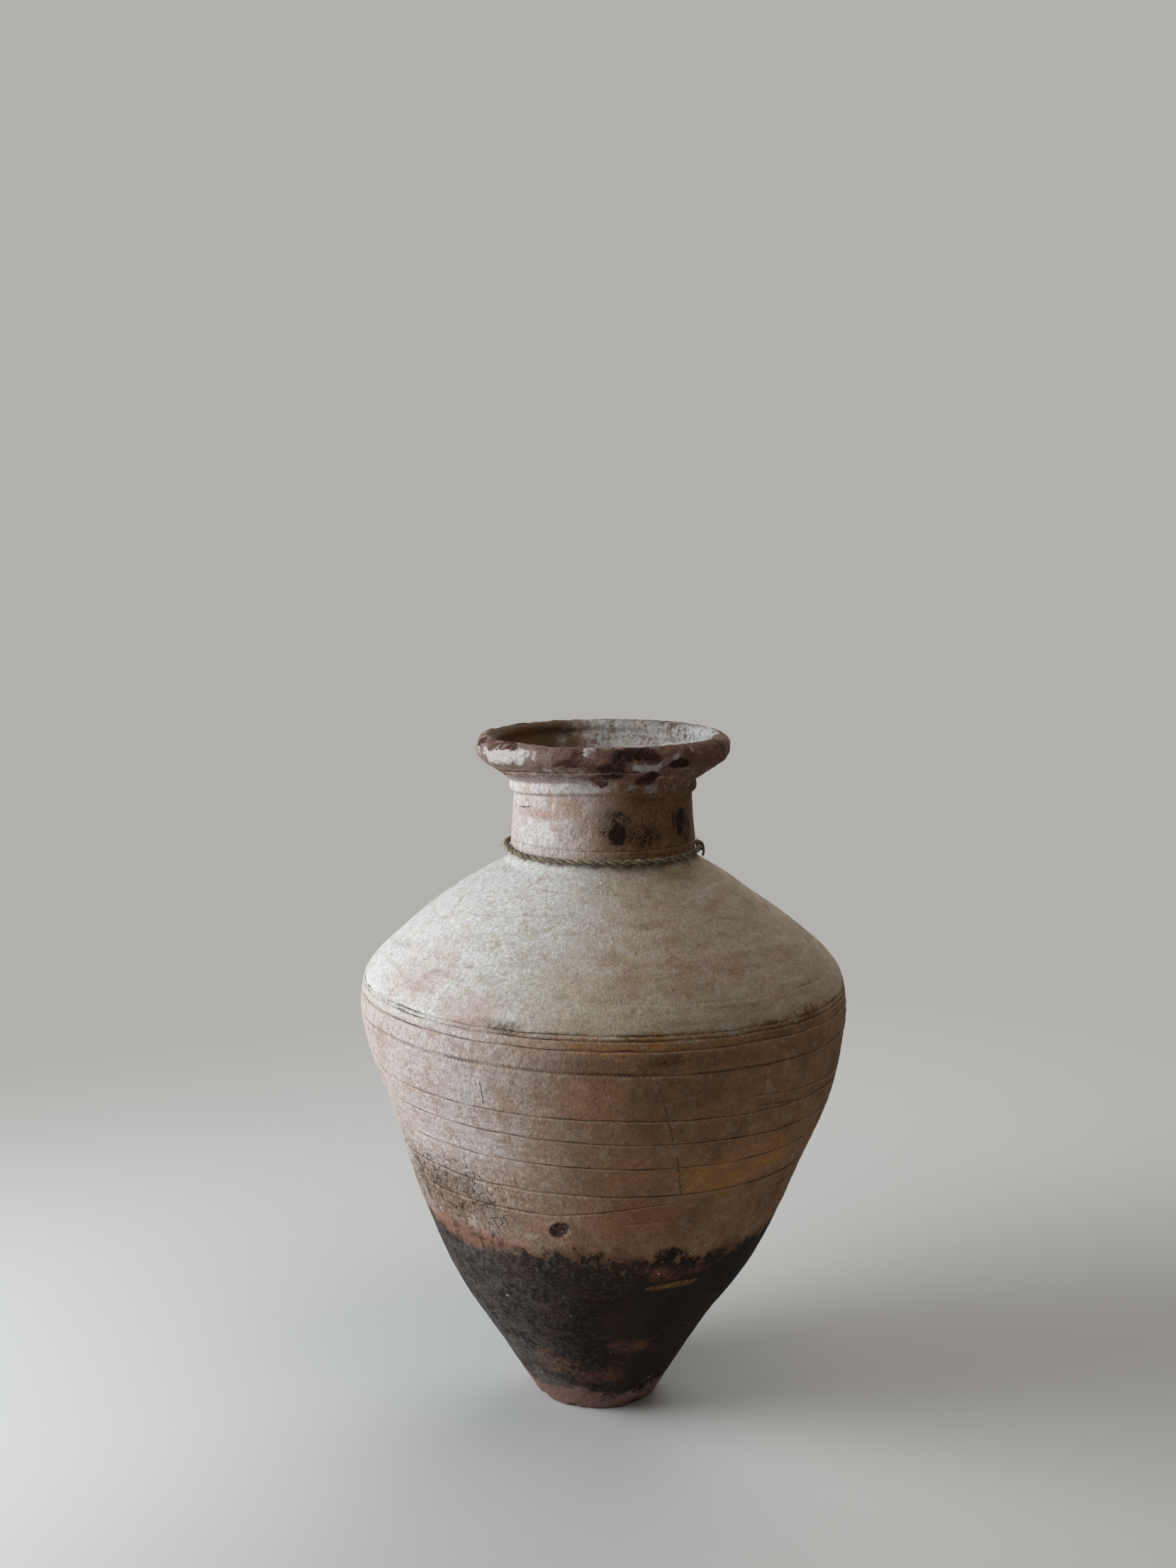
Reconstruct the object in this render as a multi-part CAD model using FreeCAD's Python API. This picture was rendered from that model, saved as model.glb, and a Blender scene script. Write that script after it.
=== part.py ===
import FreeCAD
import Part
import math
import os

from FreeCAD import Vector

# Olive jar of unglazed clay, built in luted stages, with a cord tied round its neck.
# Millimetres, +Z up, origin at the centre of the foot on the ground.

# Neck: outer radius at its foot, how much it narrows upwards, its wall and its height over the root
NECK_FOOT_RADIUS = 95.0
NECK_TAPER = 3.8
NECK_WALL = 15.0
NECK_HEIGHT = 77.5
BORE_EDGE = 6.0

# Body: radius of each station of the outline, and the rise from the station below it
FOOT_RADIUS = 62.0
KNEE_RADIUS = 157.0
KNEE_RISE = 150.0
KNEE_ROUND = 40.0
FLANK_RADIUS = 220.6
FLANK_RISE = 156.0
BELLY_RADIUS = 250.3
BELLY_RISE = 120.0
SHOULDER_RADIUS = 174.0
SHOULDER_RISE = 96.0
ROOT_SPREAD = 7.5
ROOT_RISE = 46.5

# The swell just under the widest line of the belly, measured from that line
SWELL_INSET = 3.2
SWELL_DROP = 29.0

# Clay thickness of the wall and of the slab that the jar stands on
WALL = 13.0
FLOOR = 22.0
FOOT_EDGE = 3.0

# Luted seams of the body: one below the flank's station, one below the widest line
MIDDLE_SEAM_DROP = 24.0
UPPER_SEAM_DROP = 11.0

# Lines drawn round the turning wall, by their drop below the widest line, and the tool that drew them
DRAWN_LINE_DROPS = (162.0, 144.0, 113.0, 85.0, 61.0, -9.0, -17.5, -23.0)
DRAWN_LINE_RADIUS = 1.8
DRAWN_LINE_DEPTH = 1.0

# The deeper mark that a binding cord left on the upper seam
CORD_MARK_RADIUS = 2.6
CORD_MARK_DEPTH = 1.6

# Rim: a ridge over the neck, a groove, a flare and a rolled lip
RIDGE_STAND = 5.4
RIDGE_ROUND = 4.0
RIDGE_HEIGHT = 9.0
RIDGE_GROOVE_WIDTH = 3.2
RIDGE_GROOVE_DEPTH = 1.2
LIP_REACH = 33.0
LIP_RISE = 41.8
LIP_ROLL_RADIUS = 12.0
LIP_THICKNESS = 20.0
FLARE_END_ANGLE = 63.0
FLARE_WALL = 13.0
THROAT_BEND = 10.0

# Cord: one turn round the foot of the neck, loose on the far side from its knot
CORD_DIAMETER = 6.0
CORD_CLEARANCE = 0.35
CORD_SLACK = 2.4
KNOT_LENGTH = 13.0
KNOT_DIAMETER = 10.0
KNOT_END_DIAMETER = 8.0

# Worked out from the sizes above
KNEE_HEIGHT = KNEE_RISE
FLANK_HEIGHT = KNEE_HEIGHT + FLANK_RISE
BELLY_HEIGHT = FLANK_HEIGHT + BELLY_RISE
SHOULDER_HEIGHT = BELLY_HEIGHT + SHOULDER_RISE
ROOT_HEIGHT = SHOULDER_HEIGHT + ROOT_RISE
NECK_TOP_HEIGHT = ROOT_HEIGHT + NECK_HEIGHT
ROOT_RADIUS = NECK_FOOT_RADIUS + ROOT_SPREAD
NECK_TOP_RADIUS = NECK_FOOT_RADIUS - NECK_TAPER
BORE_RADIUS = NECK_FOOT_RADIUS - NECK_WALL
RIDGE_RADIUS = NECK_TOP_RADIUS + RIDGE_STAND
RIDGE_TOP_HEIGHT = NECK_TOP_HEIGHT + RIDGE_HEIGHT
FLARE_START_HEIGHT = RIDGE_TOP_HEIGHT + RIDGE_GROOVE_WIDTH
LIP_RADIUS = RIDGE_RADIUS + LIP_REACH
LIP_HEIGHT = FLARE_START_HEIGHT + LIP_RISE
MIDDLE_SEAM_HEIGHT = FLANK_HEIGHT - MIDDLE_SEAM_DROP
UPPER_SEAM_HEIGHT = BELLY_HEIGHT - UPPER_SEAM_DROP

ORIGIN = Vector(0, 0, 0)
UP = Vector(0, 0, 1)


def at(radius, height):
    """Point of the half section that is turned about the axis."""
    return Vector(radius, 0, height)


def line(start, end):
    """Straight edge between two points."""
    return Part.makeLine(start, end)


def arc(start, middle, end):
    """Circular edge through three points."""
    return Part.Arc(start, middle, end).toShape()


def bend(start, corner, end):
    """Curved edge that leaves start towards a corner and reaches end from that corner."""
    curve = Part.BezierCurve()
    curve.setPoles([start, corner, end])
    return curve.toShape()


def turned(edges):
    """Solid of revolution of a closed half section."""
    face = Part.Face(Part.Wire(Part.__sortEdges__(edges)))
    solid = face.revolve(ORIGIN, UP, 360)
    if solid.Volume < 0:
        solid.reverse()
    return solid


def spline(points):
    """Smooth curve through points of the half section."""
    curve = Part.BSplineCurve()
    curve.interpolate(Points=points)
    return curve


def parameter_at(curve, height):
    """Parameter at which a curve that only climbs reaches a height."""
    low = curve.FirstParameter
    high = curve.LastParameter
    while high - low > 1e-9 * curve.LastParameter:
        middle = (low + high) / 2
        if curve.value(middle).z < height:
            low = middle
        else:
            high = middle
    return (low + high) / 2


def outward(curve, parameter):
    """Unit normal of a climbing curve, on the side away from the axis."""
    along = curve.tangent(parameter)[0]
    return Vector(along.z, 0, -along.x).normalize()


# Outer face of the body from the top of the straight cone to the neck's root, and the inner face
# a wall away from it
FOOT = at(FOOT_RADIUS, 0)
KNEE = at(KNEE_RADIUS, KNEE_HEIGHT)
CONE_SLOPE = (KNEE - FOOT).normalize()
STATIONS = [
    KNEE - CONE_SLOPE * KNEE_ROUND,
    KNEE,
    at(FLANK_RADIUS, FLANK_HEIGHT),
    at(BELLY_RADIUS - SWELL_INSET, BELLY_HEIGHT - SWELL_DROP),
    at(BELLY_RADIUS, BELLY_HEIGHT),
    at(SHOULDER_RADIUS, SHOULDER_HEIGHT),
    at(ROOT_RADIUS, ROOT_HEIGHT),
]
OUTER = spline(STATIONS)
INNER = spline([p - outward(OUTER, OUTER.parameter(p)) * WALL for p in STATIONS])


class Seam:
    """Luted seam, square to the wall, that shows outside at a height."""

    def __init__(self, height):
        self.height = height
        self.outer = parameter_at(OUTER, height)
        self.outer_end = OUTER.value(self.outer)
        reach = self.outer_end - outward(OUTER, self.outer) * WALL
        self.inner = INNER.parameter(reach)
        self.inner_end = INNER.value(self.inner)


def drawn_groove(height, radius, depth):
    """Ring that cuts a round groove into the outer face at a height."""
    place = parameter_at(OUTER, height)
    centre = OUTER.value(place) + outward(OUTER, place) * (radius - depth)
    return Part.makeTorus(centre.x, radius, Vector(0, 0, centre.z))


def grooved(section, low, high):
    """Section between two seams with the lines that run round it cut into it."""
    tools = []
    for drop in DRAWN_LINE_DROPS:
        height = BELLY_HEIGHT - drop
        if low.height - DRAWN_LINE_RADIUS < height < high.height + DRAWN_LINE_RADIUS:
            tools.append(drawn_groove(height, DRAWN_LINE_RADIUS, DRAWN_LINE_DEPTH))
    if UPPER_SEAM_HEIGHT in (low.height, high.height):
        tools.append(drawn_groove(UPPER_SEAM_HEIGHT, CORD_MARK_RADIUS, CORD_MARK_DEPTH))
    for tool in tools:
        section = section.cut(tool)
    return section


def build_wall_section(low, high):
    """Section of the body between two seams."""
    edges = [
        OUTER.toShape(low.outer, high.outer),
        line(high.outer_end, high.inner_end),
        INNER.toShape(low.inner, high.inner),
        line(low.inner_end, low.outer_end),
    ]
    return grooved(turned(edges), low, high)


def slab_edge():
    """Point on the straight cone at the height of the slab's top."""
    return FOOT + CONE_SLOPE * (FLOOR / CONE_SLOPE.z)


def build_foot_slab():
    """Disc with the slope of the cone on its edge and a worn lower edge."""
    edge = slab_edge()
    worn_inner = at(FOOT_RADIUS - FOOT_EDGE, 0)
    worn_outer = FOOT + CONE_SLOPE * FOOT_EDGE
    edges = [
        line(at(0, 0), worn_inner),
        bend(worn_inner, FOOT, worn_outer),
        line(worn_outer, edge),
        line(edge, at(0, FLOOR)),
        line(at(0, FLOOR), at(0, 0)),
    ]
    return turned(edges)


def build_lower_wall(top):
    """Cone that stands on the slab and ends at the seam of the knee."""
    edge = slab_edge()
    inner_edge = edge - Vector(WALL / CONE_SLOPE.z, 0, 0)
    edges = [
        line(edge, OUTER.StartPoint),
        OUTER.toShape(OUTER.FirstParameter, top.outer),
        line(top.outer_end, top.inner_end),
        INNER.toShape(INNER.FirstParameter, top.inner),
        line(INNER.StartPoint, inner_edge),
        line(inner_edge, edge),
    ]
    return turned(edges)


def neck_root():
    """Corner that the fillet of the neck's root rounds, and the point where the neck starts."""
    root = STATIONS[-1]
    along = OUTER.tangent(OUTER.LastParameter)[0]
    corner = root + along * ((NECK_FOOT_RADIUS - root.x) / along.x)
    return corner, corner + UP * corner.distanceToPoint(root)


def build_neck_collar(seat):
    """Collar with a filleted root outside and a straight bore inside."""
    corner, neck_start = neck_root()
    neck_top = at(NECK_TOP_RADIUS, NECK_TOP_HEIGHT)
    bore_top = at(BORE_RADIUS, NECK_TOP_HEIGHT)
    along = INNER.tangent(seat.inner)[0]
    bore_corner = seat.inner_end + along * ((BORE_RADIUS - seat.inner_end.x) / along.x)
    edge_low = bore_corner - along * BORE_EDGE
    edge_high = bore_corner + UP * BORE_EDGE
    edges = [
        bend(seat.outer_end, corner, neck_start),
        line(neck_start, neck_top),
        line(neck_top, bore_top),
        line(bore_top, edge_high),
        bend(edge_high, bore_corner, edge_low),
        line(edge_low, seat.inner_end),
        line(seat.inner_end, seat.outer_end),
    ]
    return turned(edges)


def build_rim_ring():
    """Ridge, groove, flare and rolled lip outside, and a mouth that widens from the bore inside."""
    seat = at(NECK_TOP_RADIUS, NECK_TOP_HEIGHT)
    ridge_low = at(RIDGE_RADIUS, NECK_TOP_HEIGHT + RIDGE_ROUND)
    ridge_top = at(RIDGE_RADIUS, RIDGE_TOP_HEIGHT)
    groove_floor = at(RIDGE_RADIUS - RIDGE_GROOVE_DEPTH, RIDGE_TOP_HEIGHT + RIDGE_GROOVE_WIDTH / 2)
    flare_start = at(RIDGE_RADIUS, FLARE_START_HEIGHT)

    roll = at(LIP_RADIUS - LIP_ROLL_RADIUS, LIP_HEIGHT - LIP_ROLL_RADIUS)
    below = math.radians(-FLARE_END_ANGLE)
    flare_end = roll + Vector(math.cos(below), 0, math.sin(below)) * LIP_ROLL_RADIUS
    lip_out = at(LIP_RADIUS, roll.z)
    lip_top = at(roll.x, LIP_HEIGHT)

    lip_inner_radius = LIP_RADIUS - LIP_THICKNESS
    lip_inside = at(lip_inner_radius, roll.z)
    slope = (flare_end - flare_start).normalize()
    inner_start = flare_start + Vector(-slope.z, 0, slope.x) * FLARE_WALL
    mouth_corner = inner_start + slope * ((lip_inner_radius - inner_start.x) / slope.x)
    mouth_end = mouth_corner - slope * lip_inside.distanceToPoint(mouth_corner)
    throat_corner = inner_start + slope * ((BORE_RADIUS - inner_start.x) / slope.x)
    throat_high = throat_corner + slope * THROAT_BEND
    throat_low = throat_corner - UP * THROAT_BEND
    bore_low = at(BORE_RADIUS, NECK_TOP_HEIGHT)

    edges = [
        bend(seat, at(RIDGE_RADIUS, NECK_TOP_HEIGHT), ridge_low),
        line(ridge_low, ridge_top),
        arc(ridge_top, groove_floor, flare_start),
        line(flare_start, flare_end),
        arc(flare_end, lip_out, lip_top),
        bend(lip_top, at(lip_inner_radius, LIP_HEIGHT), lip_inside),
        bend(lip_inside, mouth_corner, mouth_end),
        line(mouth_end, throat_high),
        bend(throat_high, throat_corner, throat_low),
        line(throat_low, bore_low),
        line(bore_low, seat),
    ]
    return turned(edges)


class CordRoute:
    """Line of the cord: an arc round the neck, with a straight run into each face of the knot."""

    def __init__(self):
        near = NECK_FOOT_RADIUS + CORD_CLEARANCE + CORD_DIAMETER / 2
        self.radius = near + CORD_SLACK / 2
        self.height = neck_root()[1].z
        self.centre = Vector(-CORD_SLACK / 2, 0, self.height)
        run = CORD_DIAMETER
        reach = math.hypot(self.radius, run)
        self.start_angle = math.asin(KNOT_LENGTH / 2 / reach) + math.atan(run / self.radius)
        self.left_face = self.run_end(1)
        self.right_face = self.run_end(-1)

    def on_arc(self, angle):
        """Point of the arc at an angle from the knot."""
        return self.centre + Vector(math.cos(angle), math.sin(angle), 0) * self.radius

    def heading(self, side):
        """Direction in which the cord runs into the knot on one side, 1 or -1."""
        return Vector(math.sin(self.start_angle), -side * math.cos(self.start_angle), 0)

    def run_end(self, side):
        """Centre of the face of the knot that the cord meets on one side."""
        return self.on_arc(side * self.start_angle) + self.heading(side) * CORD_DIAMETER

    def wire(self):
        """Path from one face of the knot round the neck to the other face."""
        first = self.on_arc(self.start_angle)
        quarter = self.on_arc((math.pi + self.start_angle) / 2)
        back = self.on_arc(math.pi)
        third = self.on_arc(-(math.pi + self.start_angle) / 2)
        last = self.on_arc(-self.start_angle)
        return Part.Wire([
            line(self.left_face, first),
            arc(first, quarter, back),
            arc(back, third, last),
            line(last, self.right_face),
        ])


def build_neck_cord(route):
    """Round cord along its route, as one tube."""
    path = route.wire()
    section = Part.Wire(Part.makeCircle(CORD_DIAMETER / 2, route.left_face, route.heading(1)))
    tube = path.makePipeShell([section], True, False)
    drawn = math.pi * CORD_DIAMETER ** 2 / 4 * path.Length
    print(f"cord {path.Length:.1f} mm long, volume {tube.Volume / drawn:.4f} of section times length")
    least = route.left_face.distanceToPoint(route.right_face) - CORD_DIAMETER
    print(f"least gap of the cord to itself {least:.2f} mm")
    return tube


def build_neck_core(seat):
    """Solid form of the neck's foot and root, grown outwards by the cord's clearance."""
    corner, neck_start = neck_root()
    grown = Vector(CORD_CLEARANCE, 0, 0)
    top = neck_start + grown + UP * KNOT_DIAMETER
    edges = [
        bend(seat.outer_end + grown, corner + grown, neck_start + grown),
        line(neck_start + grown, top),
        line(top, at(0, top.z)),
        line(at(0, top.z), at(0, seat.height)),
        line(at(0, seat.height), seat.outer_end + grown),
    ]
    return turned(edges)


def build_cord_knot(route, seat):
    """Barrel-shaped knot between the two ends of the cord, pressed flat against the neck."""
    half = KNOT_LENGTH / 2
    axis_x = route.left_face.x
    end_radius = KNOT_END_DIAMETER / 2
    reach = half + end_radius
    low = Vector(axis_x, -reach, route.height)
    high = Vector(axis_x, reach, route.height)
    side = Vector(end_radius, 0, 0)
    crown = Vector(axis_x + KNOT_DIAMETER / 2, 0, route.height)
    outline = [
        line(low, low + side),
        arc(low + side, crown, high + side),
        line(high + side, high),
        line(high, low),
    ]
    face = Part.Face(Part.Wire(outline))
    barrel = face.revolve(low, Vector(0, 1, 0), 360)

    # Faces square to the cord
    left_across = Vector(math.cos(route.start_angle), math.sin(route.start_angle), 0) * KNOT_DIAMETER
    right_across = Vector(left_across.x, -left_across.y, 0)
    corners = [
        route.left_face - left_across,
        route.left_face + left_across,
        route.right_face + right_across,
        route.right_face - right_across,
    ]
    drop = Vector(0, 0, -KNOT_DIAMETER)
    outline = Part.makePolygon([p + drop for p in corners + corners[:1]])
    between = Part.Face(outline).extrude(Vector(0, 0, 2 * KNOT_DIAMETER))
    knot = barrel.common(between)

    return knot.cut(build_neck_core(seat))


knee_seam = Seam(KNEE_HEIGHT)
middle_seam = Seam(MIDDLE_SEAM_HEIGHT)
upper_seam = Seam(UPPER_SEAM_HEIGHT)
root_seam = Seam(ROOT_HEIGHT)
cord_route = CordRoute()

pieces = {
    "foot_slab": build_foot_slab(),
    "lower_wall": build_lower_wall(knee_seam),
    "middle_wall": build_wall_section(knee_seam, middle_seam),
    "upper_wall": build_wall_section(middle_seam, upper_seam),
    "shoulder": build_wall_section(upper_seam, root_seam),
    "neck_collar": build_neck_collar(root_seam),
    "rim_ring": build_rim_ring(),
    "neck_cord": build_neck_cord(cord_route),
    "cord_knot": build_cord_knot(cord_route, root_seam),
}

os.makedirs("parts", exist_ok=True)
for name, shape in pieces.items():
    solids = shape.Solids
    if len(solids) != 1 or not shape.isValid():
        raise ValueError(f"{name} has {len(solids)} solids, valid {shape.isValid()}")
    solids[0].exportStep(os.path.join("parts", name + ".step"))
    box = solids[0].BoundBox
    print(f"{name}: volume {solids[0].Volume / 1000:.1f} cm3, height {box.ZMin:.1f} to {box.ZMax:.1f}")
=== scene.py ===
"""Dressed scene of a large unglazed clay olive jar with a cord tied round its neck."""

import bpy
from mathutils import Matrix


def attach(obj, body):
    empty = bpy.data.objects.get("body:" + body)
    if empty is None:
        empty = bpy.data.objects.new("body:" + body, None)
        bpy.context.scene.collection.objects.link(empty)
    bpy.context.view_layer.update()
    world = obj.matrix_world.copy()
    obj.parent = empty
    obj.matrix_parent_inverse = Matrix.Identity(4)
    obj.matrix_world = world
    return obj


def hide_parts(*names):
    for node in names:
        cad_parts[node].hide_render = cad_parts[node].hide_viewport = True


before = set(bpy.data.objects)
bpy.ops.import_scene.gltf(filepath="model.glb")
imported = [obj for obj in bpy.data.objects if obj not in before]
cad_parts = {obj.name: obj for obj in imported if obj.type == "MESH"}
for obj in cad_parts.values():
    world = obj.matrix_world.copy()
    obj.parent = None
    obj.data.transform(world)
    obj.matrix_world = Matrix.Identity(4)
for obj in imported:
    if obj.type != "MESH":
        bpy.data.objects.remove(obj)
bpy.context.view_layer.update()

import functools
import itertools
import logging
import math
import random
from dataclasses import dataclass
from enum import Enum
from typing import ClassVar, Iterable, Optional, Sequence, Union

import bmesh
import bpy
import numpy as np
from mathutils import Vector, geometry

LOG = logging.getLogger("olive_jar")
MM = 0.001
FULL_TURN = 2.0 * math.pi
LATTICE = np.random.default_rng(5).uniform(-1.0, 1.0, (64, 64, 64))
LATTICE_SHIFT = 11.3
ROUTE_STEPS = 24
ROUTE_ORDER = 3
THREAD_ROUNDING = 2

Socket = bpy.types.NodeSocket
Value = Union[Socket, float]
Colour = tuple[float, float, float]
Tint = Union[Socket, Colour]
Point = tuple[float, float, float]
Input = Union[Socket, float, Colour]
Station = tuple[float, float]


def paint(red: int, green: int, blue: int) -> Colour:
    """Linear colour of a paint that is written as it shows on a screen, 0 to 255."""
    shares = (red / 255.0, green / 255.0, blue / 255.0)
    return tuple(s / 12.92 if s <= 0.04045 else ((s + 0.055) / 1.055) ** 2.4 for s in shares)


def ease(value: np.ndarray, low: float, high: float) -> np.ndarray:
    """Smooth step from 0 at low to 1 at high; where low is above high, it falls instead."""
    share = np.clip((value - low) / (high - low), 0.0, 1.0)
    return share * share * (3.0 - 2.0 * share)


def band(value: np.ndarray, start: float, full: float, fade: float, end: float) -> np.ndarray:
    """Share that rises from start to full and falls from fade to end."""
    return ease(value, start, full) * ease(value, end, fade)


def hill(value: np.ndarray, centre: float, width: float) -> np.ndarray:
    """Bell curve of height 1 at the centre, which has fallen to about a third at the width."""
    return np.exp(-(((value - centre) / width) ** 2))


def wander(points: np.ndarray, size: float, octaves: int = 1) -> np.ndarray:
    """Smooth noise over points of the object, from a lattice of seeded numbers.

    Args:
        points: Rows of x, y, z in metres.
        size: Size of the largest bumps in metres.
        octaves: Number of layers, each half as large as the one before.

    Returns:
        One value per point, about -1 to 1.
    """
    total = np.zeros(len(points))
    for layer in range(octaves):
        spots = points * (2.0**layer / size) + LATTICE_SHIFT * layer
        low = np.floor(spots).astype(int)
        part = spots - low
        part *= part * (3.0 - 2.0 * part)
        for corner in itertools.product((0, 1), repeat=3):
            weight = np.prod(np.where(corner, part, 1.0 - part), axis=1)
            cell = (low + corner) % len(LATTICE)
            total += 0.5**layer * weight * LATTICE[cell[:, 0], cell[:, 1], cell[:, 2]]
    return total


def add_object(name: str, data: bpy.types.ID) -> bpy.types.Object:
    """Put a new object in the scene, at the origin.

    Args:
        name: Name of the object.
        data: Its mesh, lamp or camera.

    Returns:
        The object.
    """
    made = bpy.data.objects.new(name, data)
    bpy.context.scene.collection.objects.link(made)
    return made


class Face(Enum):
    """Side of the clay wall that a stretch of a half section lies on."""

    OUTER = 1.0
    INNER = 0.0


class Mark(Enum):
    """Weathering, painted light and painted shade on the clay, by the name of its mesh attribute."""

    CREAM = "cream"
    # Pale dust and painted light on the side that faces the window lamp.
    DUST = "dust"
    # Lime, and painted light on the inside of the mouth.
    LIME = "lime"
    BARE = "bare"
    RIM = "rim"
    IRON = "iron"
    OCHRE = "ochre"
    STAIN = "stain"
    # Grime, and painted shade on the neck and under the cord.
    GRIME = "grime"
    SOOT = "soot"
    # Painted shade: near-black soot round the front-right of the lower part.
    CHAR = "char"
    CRACKLE = "crackle"
    GROOVE = "groove"
    OFF_LINE = "off_line"
    FOOT = "foot"
    INSIDE = "inside"


class Layer(Enum):
    """Vertex layers that a half section hands to its turned mesh."""

    FACE = "face_side"
    OUT_RADIUS = "out_radius"
    OUT_HEIGHT = "out_height"


class Places:
    """Where the vertices of a turned mesh are, and the noise that its relief and marks share."""

    def __init__(self, mesh: bpy.types.Mesh) -> None:
        """Read the places from a mesh whose vertex layers are set.

        Args:
            mesh: Turned mesh before its relief is added.
        """
        flat = np.empty(len(mesh.vertices) * 3)
        mesh.vertices.foreach_get("co", flat)
        self.points = flat.reshape(-1, 3)
        self.angle = np.arctan2(self.points[:, 1], self.points[:, 0])
        self.radius = np.hypot(self.points[:, 0], self.points[:, 1])
        self.level = self.points[:, 2] / MM
        self.side = self.layer(mesh, Layer.FACE)
        self.out_radius = self.layer(mesh, Layer.OUT_RADIUS)
        self.out_height = self.layer(mesh, Layer.OUT_HEIGHT)
        self.slow = wander(self.points, 70 * MM, 2)
        self.uneven = wander(self.points, 24 * MM, 2)
        self.ragged = wander(self.points, 16 * MM, 3)
        self.sandy = wander(self.points, 4 * MM, 1)

    @staticmethod
    def layer(mesh: bpy.types.Mesh, which: Layer) -> np.ndarray:
        """Values of one vertex layer.

        Args:
            mesh: Mesh that has the layer.
            which: The layer.

        Returns:
            One value per vertex.
        """
        values = np.empty(len(mesh.vertices), np.float32)
        mesh.attributes[which.value].data.foreach_get("value", values)
        return values.astype(float)

    def turn_from(self, direction: float) -> np.ndarray:
        """Angle of each place from a direction in degrees, in radians up to half a turn either way."""
        return (self.angle - math.radians(direction) + math.pi) % FULL_TURN - math.pi

    def rough(self, slow: float = 0, uneven: float = 0, ragged: float = 0, sandy: float = 0) -> np.ndarray:
        """Sum of the four noises, each with its own strength."""
        return slow * self.slow + uneven * self.uneven + ragged * self.ragged + sandy * self.sandy


@dataclass(frozen=True)
class Spot:
    """Oval on the jar: angle of its middle in degrees from +X, height and half sizes in millimetres."""

    angle: float
    height: float
    half_width: float
    half_height: float

    def reach(self, place: Places, ragged: float) -> np.ndarray:
        """How far each place lies from the middle, as a share of the way to the edge.

        Args:
            place: The places.
            ragged: How much noise moves the edge.

        Returns:
            Shares, 1 at the edge.
        """
        across = place.turn_from(self.angle) * place.radius / (self.half_width * MM)
        along = (place.level - self.height) / self.half_height
        return np.hypot(across, along) + ragged * place.ragged


@dataclass(frozen=True)
class Patch(Spot):
    """Irregular spot of weathering on one side of the wall."""

    strength: float = 1.0
    face: Face = Face.OUTER
    RAGGED: ClassVar[float] = 0.45
    FAR: ClassVar[float] = 1.3
    NEAR: ClassVar[float] = 0.7

    def cover(self, place: Places) -> np.ndarray:
        """Share of the patch at each place, from 0 to its strength."""
        share = np.clip((self.FAR - self.reach(place, self.RAGGED)) / (self.FAR - self.NEAR), 0.0, 1.0)
        return self.strength * share * (place.side == self.face.value)


@dataclass(frozen=True)
class Dent(Spot):
    """Hollow that a knock left, its depth in millimetres; its lip may stand up."""

    depth: float
    lip: float = 0.0
    RAGGED: ClassVar[float] = 0.3
    HOLLOW: ClassVar[tuple[float, float]] = (1.0, 0.35)
    LIP: ClassVar[tuple[float, float]] = (1.05, 0.22)

    def offset(self, place: Places) -> np.ndarray:
        """How far the dent moves each place.

        Args:
            place: The places.

        Returns:
            Offsets along the surface's normal in metres.
        """
        reach = self.reach(place, self.RAGGED)
        rise = self.lip * hill(reach, *self.LIP) - self.depth * ease(reach, *self.HOLLOW)
        return rise * MM * place.side


@dataclass(frozen=True)
class DrawnLine:
    """Line that a tool left in the turning wall, in millimetres and degrees from +X.

    The tilt is how far the line falls for each millimetre towards +X, and the climb is how far it rises
    in the last part of its way.
    """

    height: float
    tilt: float
    depth: float
    half_width: float = 1.1
    first: float = -180.0
    last: float = 180.0
    climb: float = 0.0
    CLIMB_TURN: ClassVar[float] = 36.0
    FADE_TURN: ClassVar[tuple[float, float]] = (0.01, -0.12)
    CLEAR: ClassVar[float] = 0.82
    FAINTEST: ClassVar[float] = 0.35

    def above(self, place: Places) -> np.ndarray:
        """How far each place lies above the line.

        Args:
            place: The places.

        Returns:
            Distances in millimetres, below zero under the line.
        """
        wobble = place.rough(slow=0.9, uneven=0.55)
        climb = self.climb * ease(np.degrees(place.angle), self.last - self.CLIMB_TURN, self.last)
        return place.level - (self.height - self.tilt * place.points[:, 0] / MM + climb + wobble)

    def strength(self, place: Places) -> np.ndarray:
        """How clear the line is at each place.

        Args:
            place: The places.

        Returns:
            Shares from 0 to 1.
        """
        reach = math.radians((self.last - self.first) / 2.0)
        turn = np.abs(place.turn_from((self.first + self.last) / 2.0))
        fade = ease(turn, *(reach + way for way in self.FADE_TURN)) if reach < math.pi else 1.0
        clear = self.CLEAR + place.rough(slow=0.5, uneven=0.4)
        return fade * np.clip(clear, self.FAINTEST, 1.0) * place.side


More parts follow.
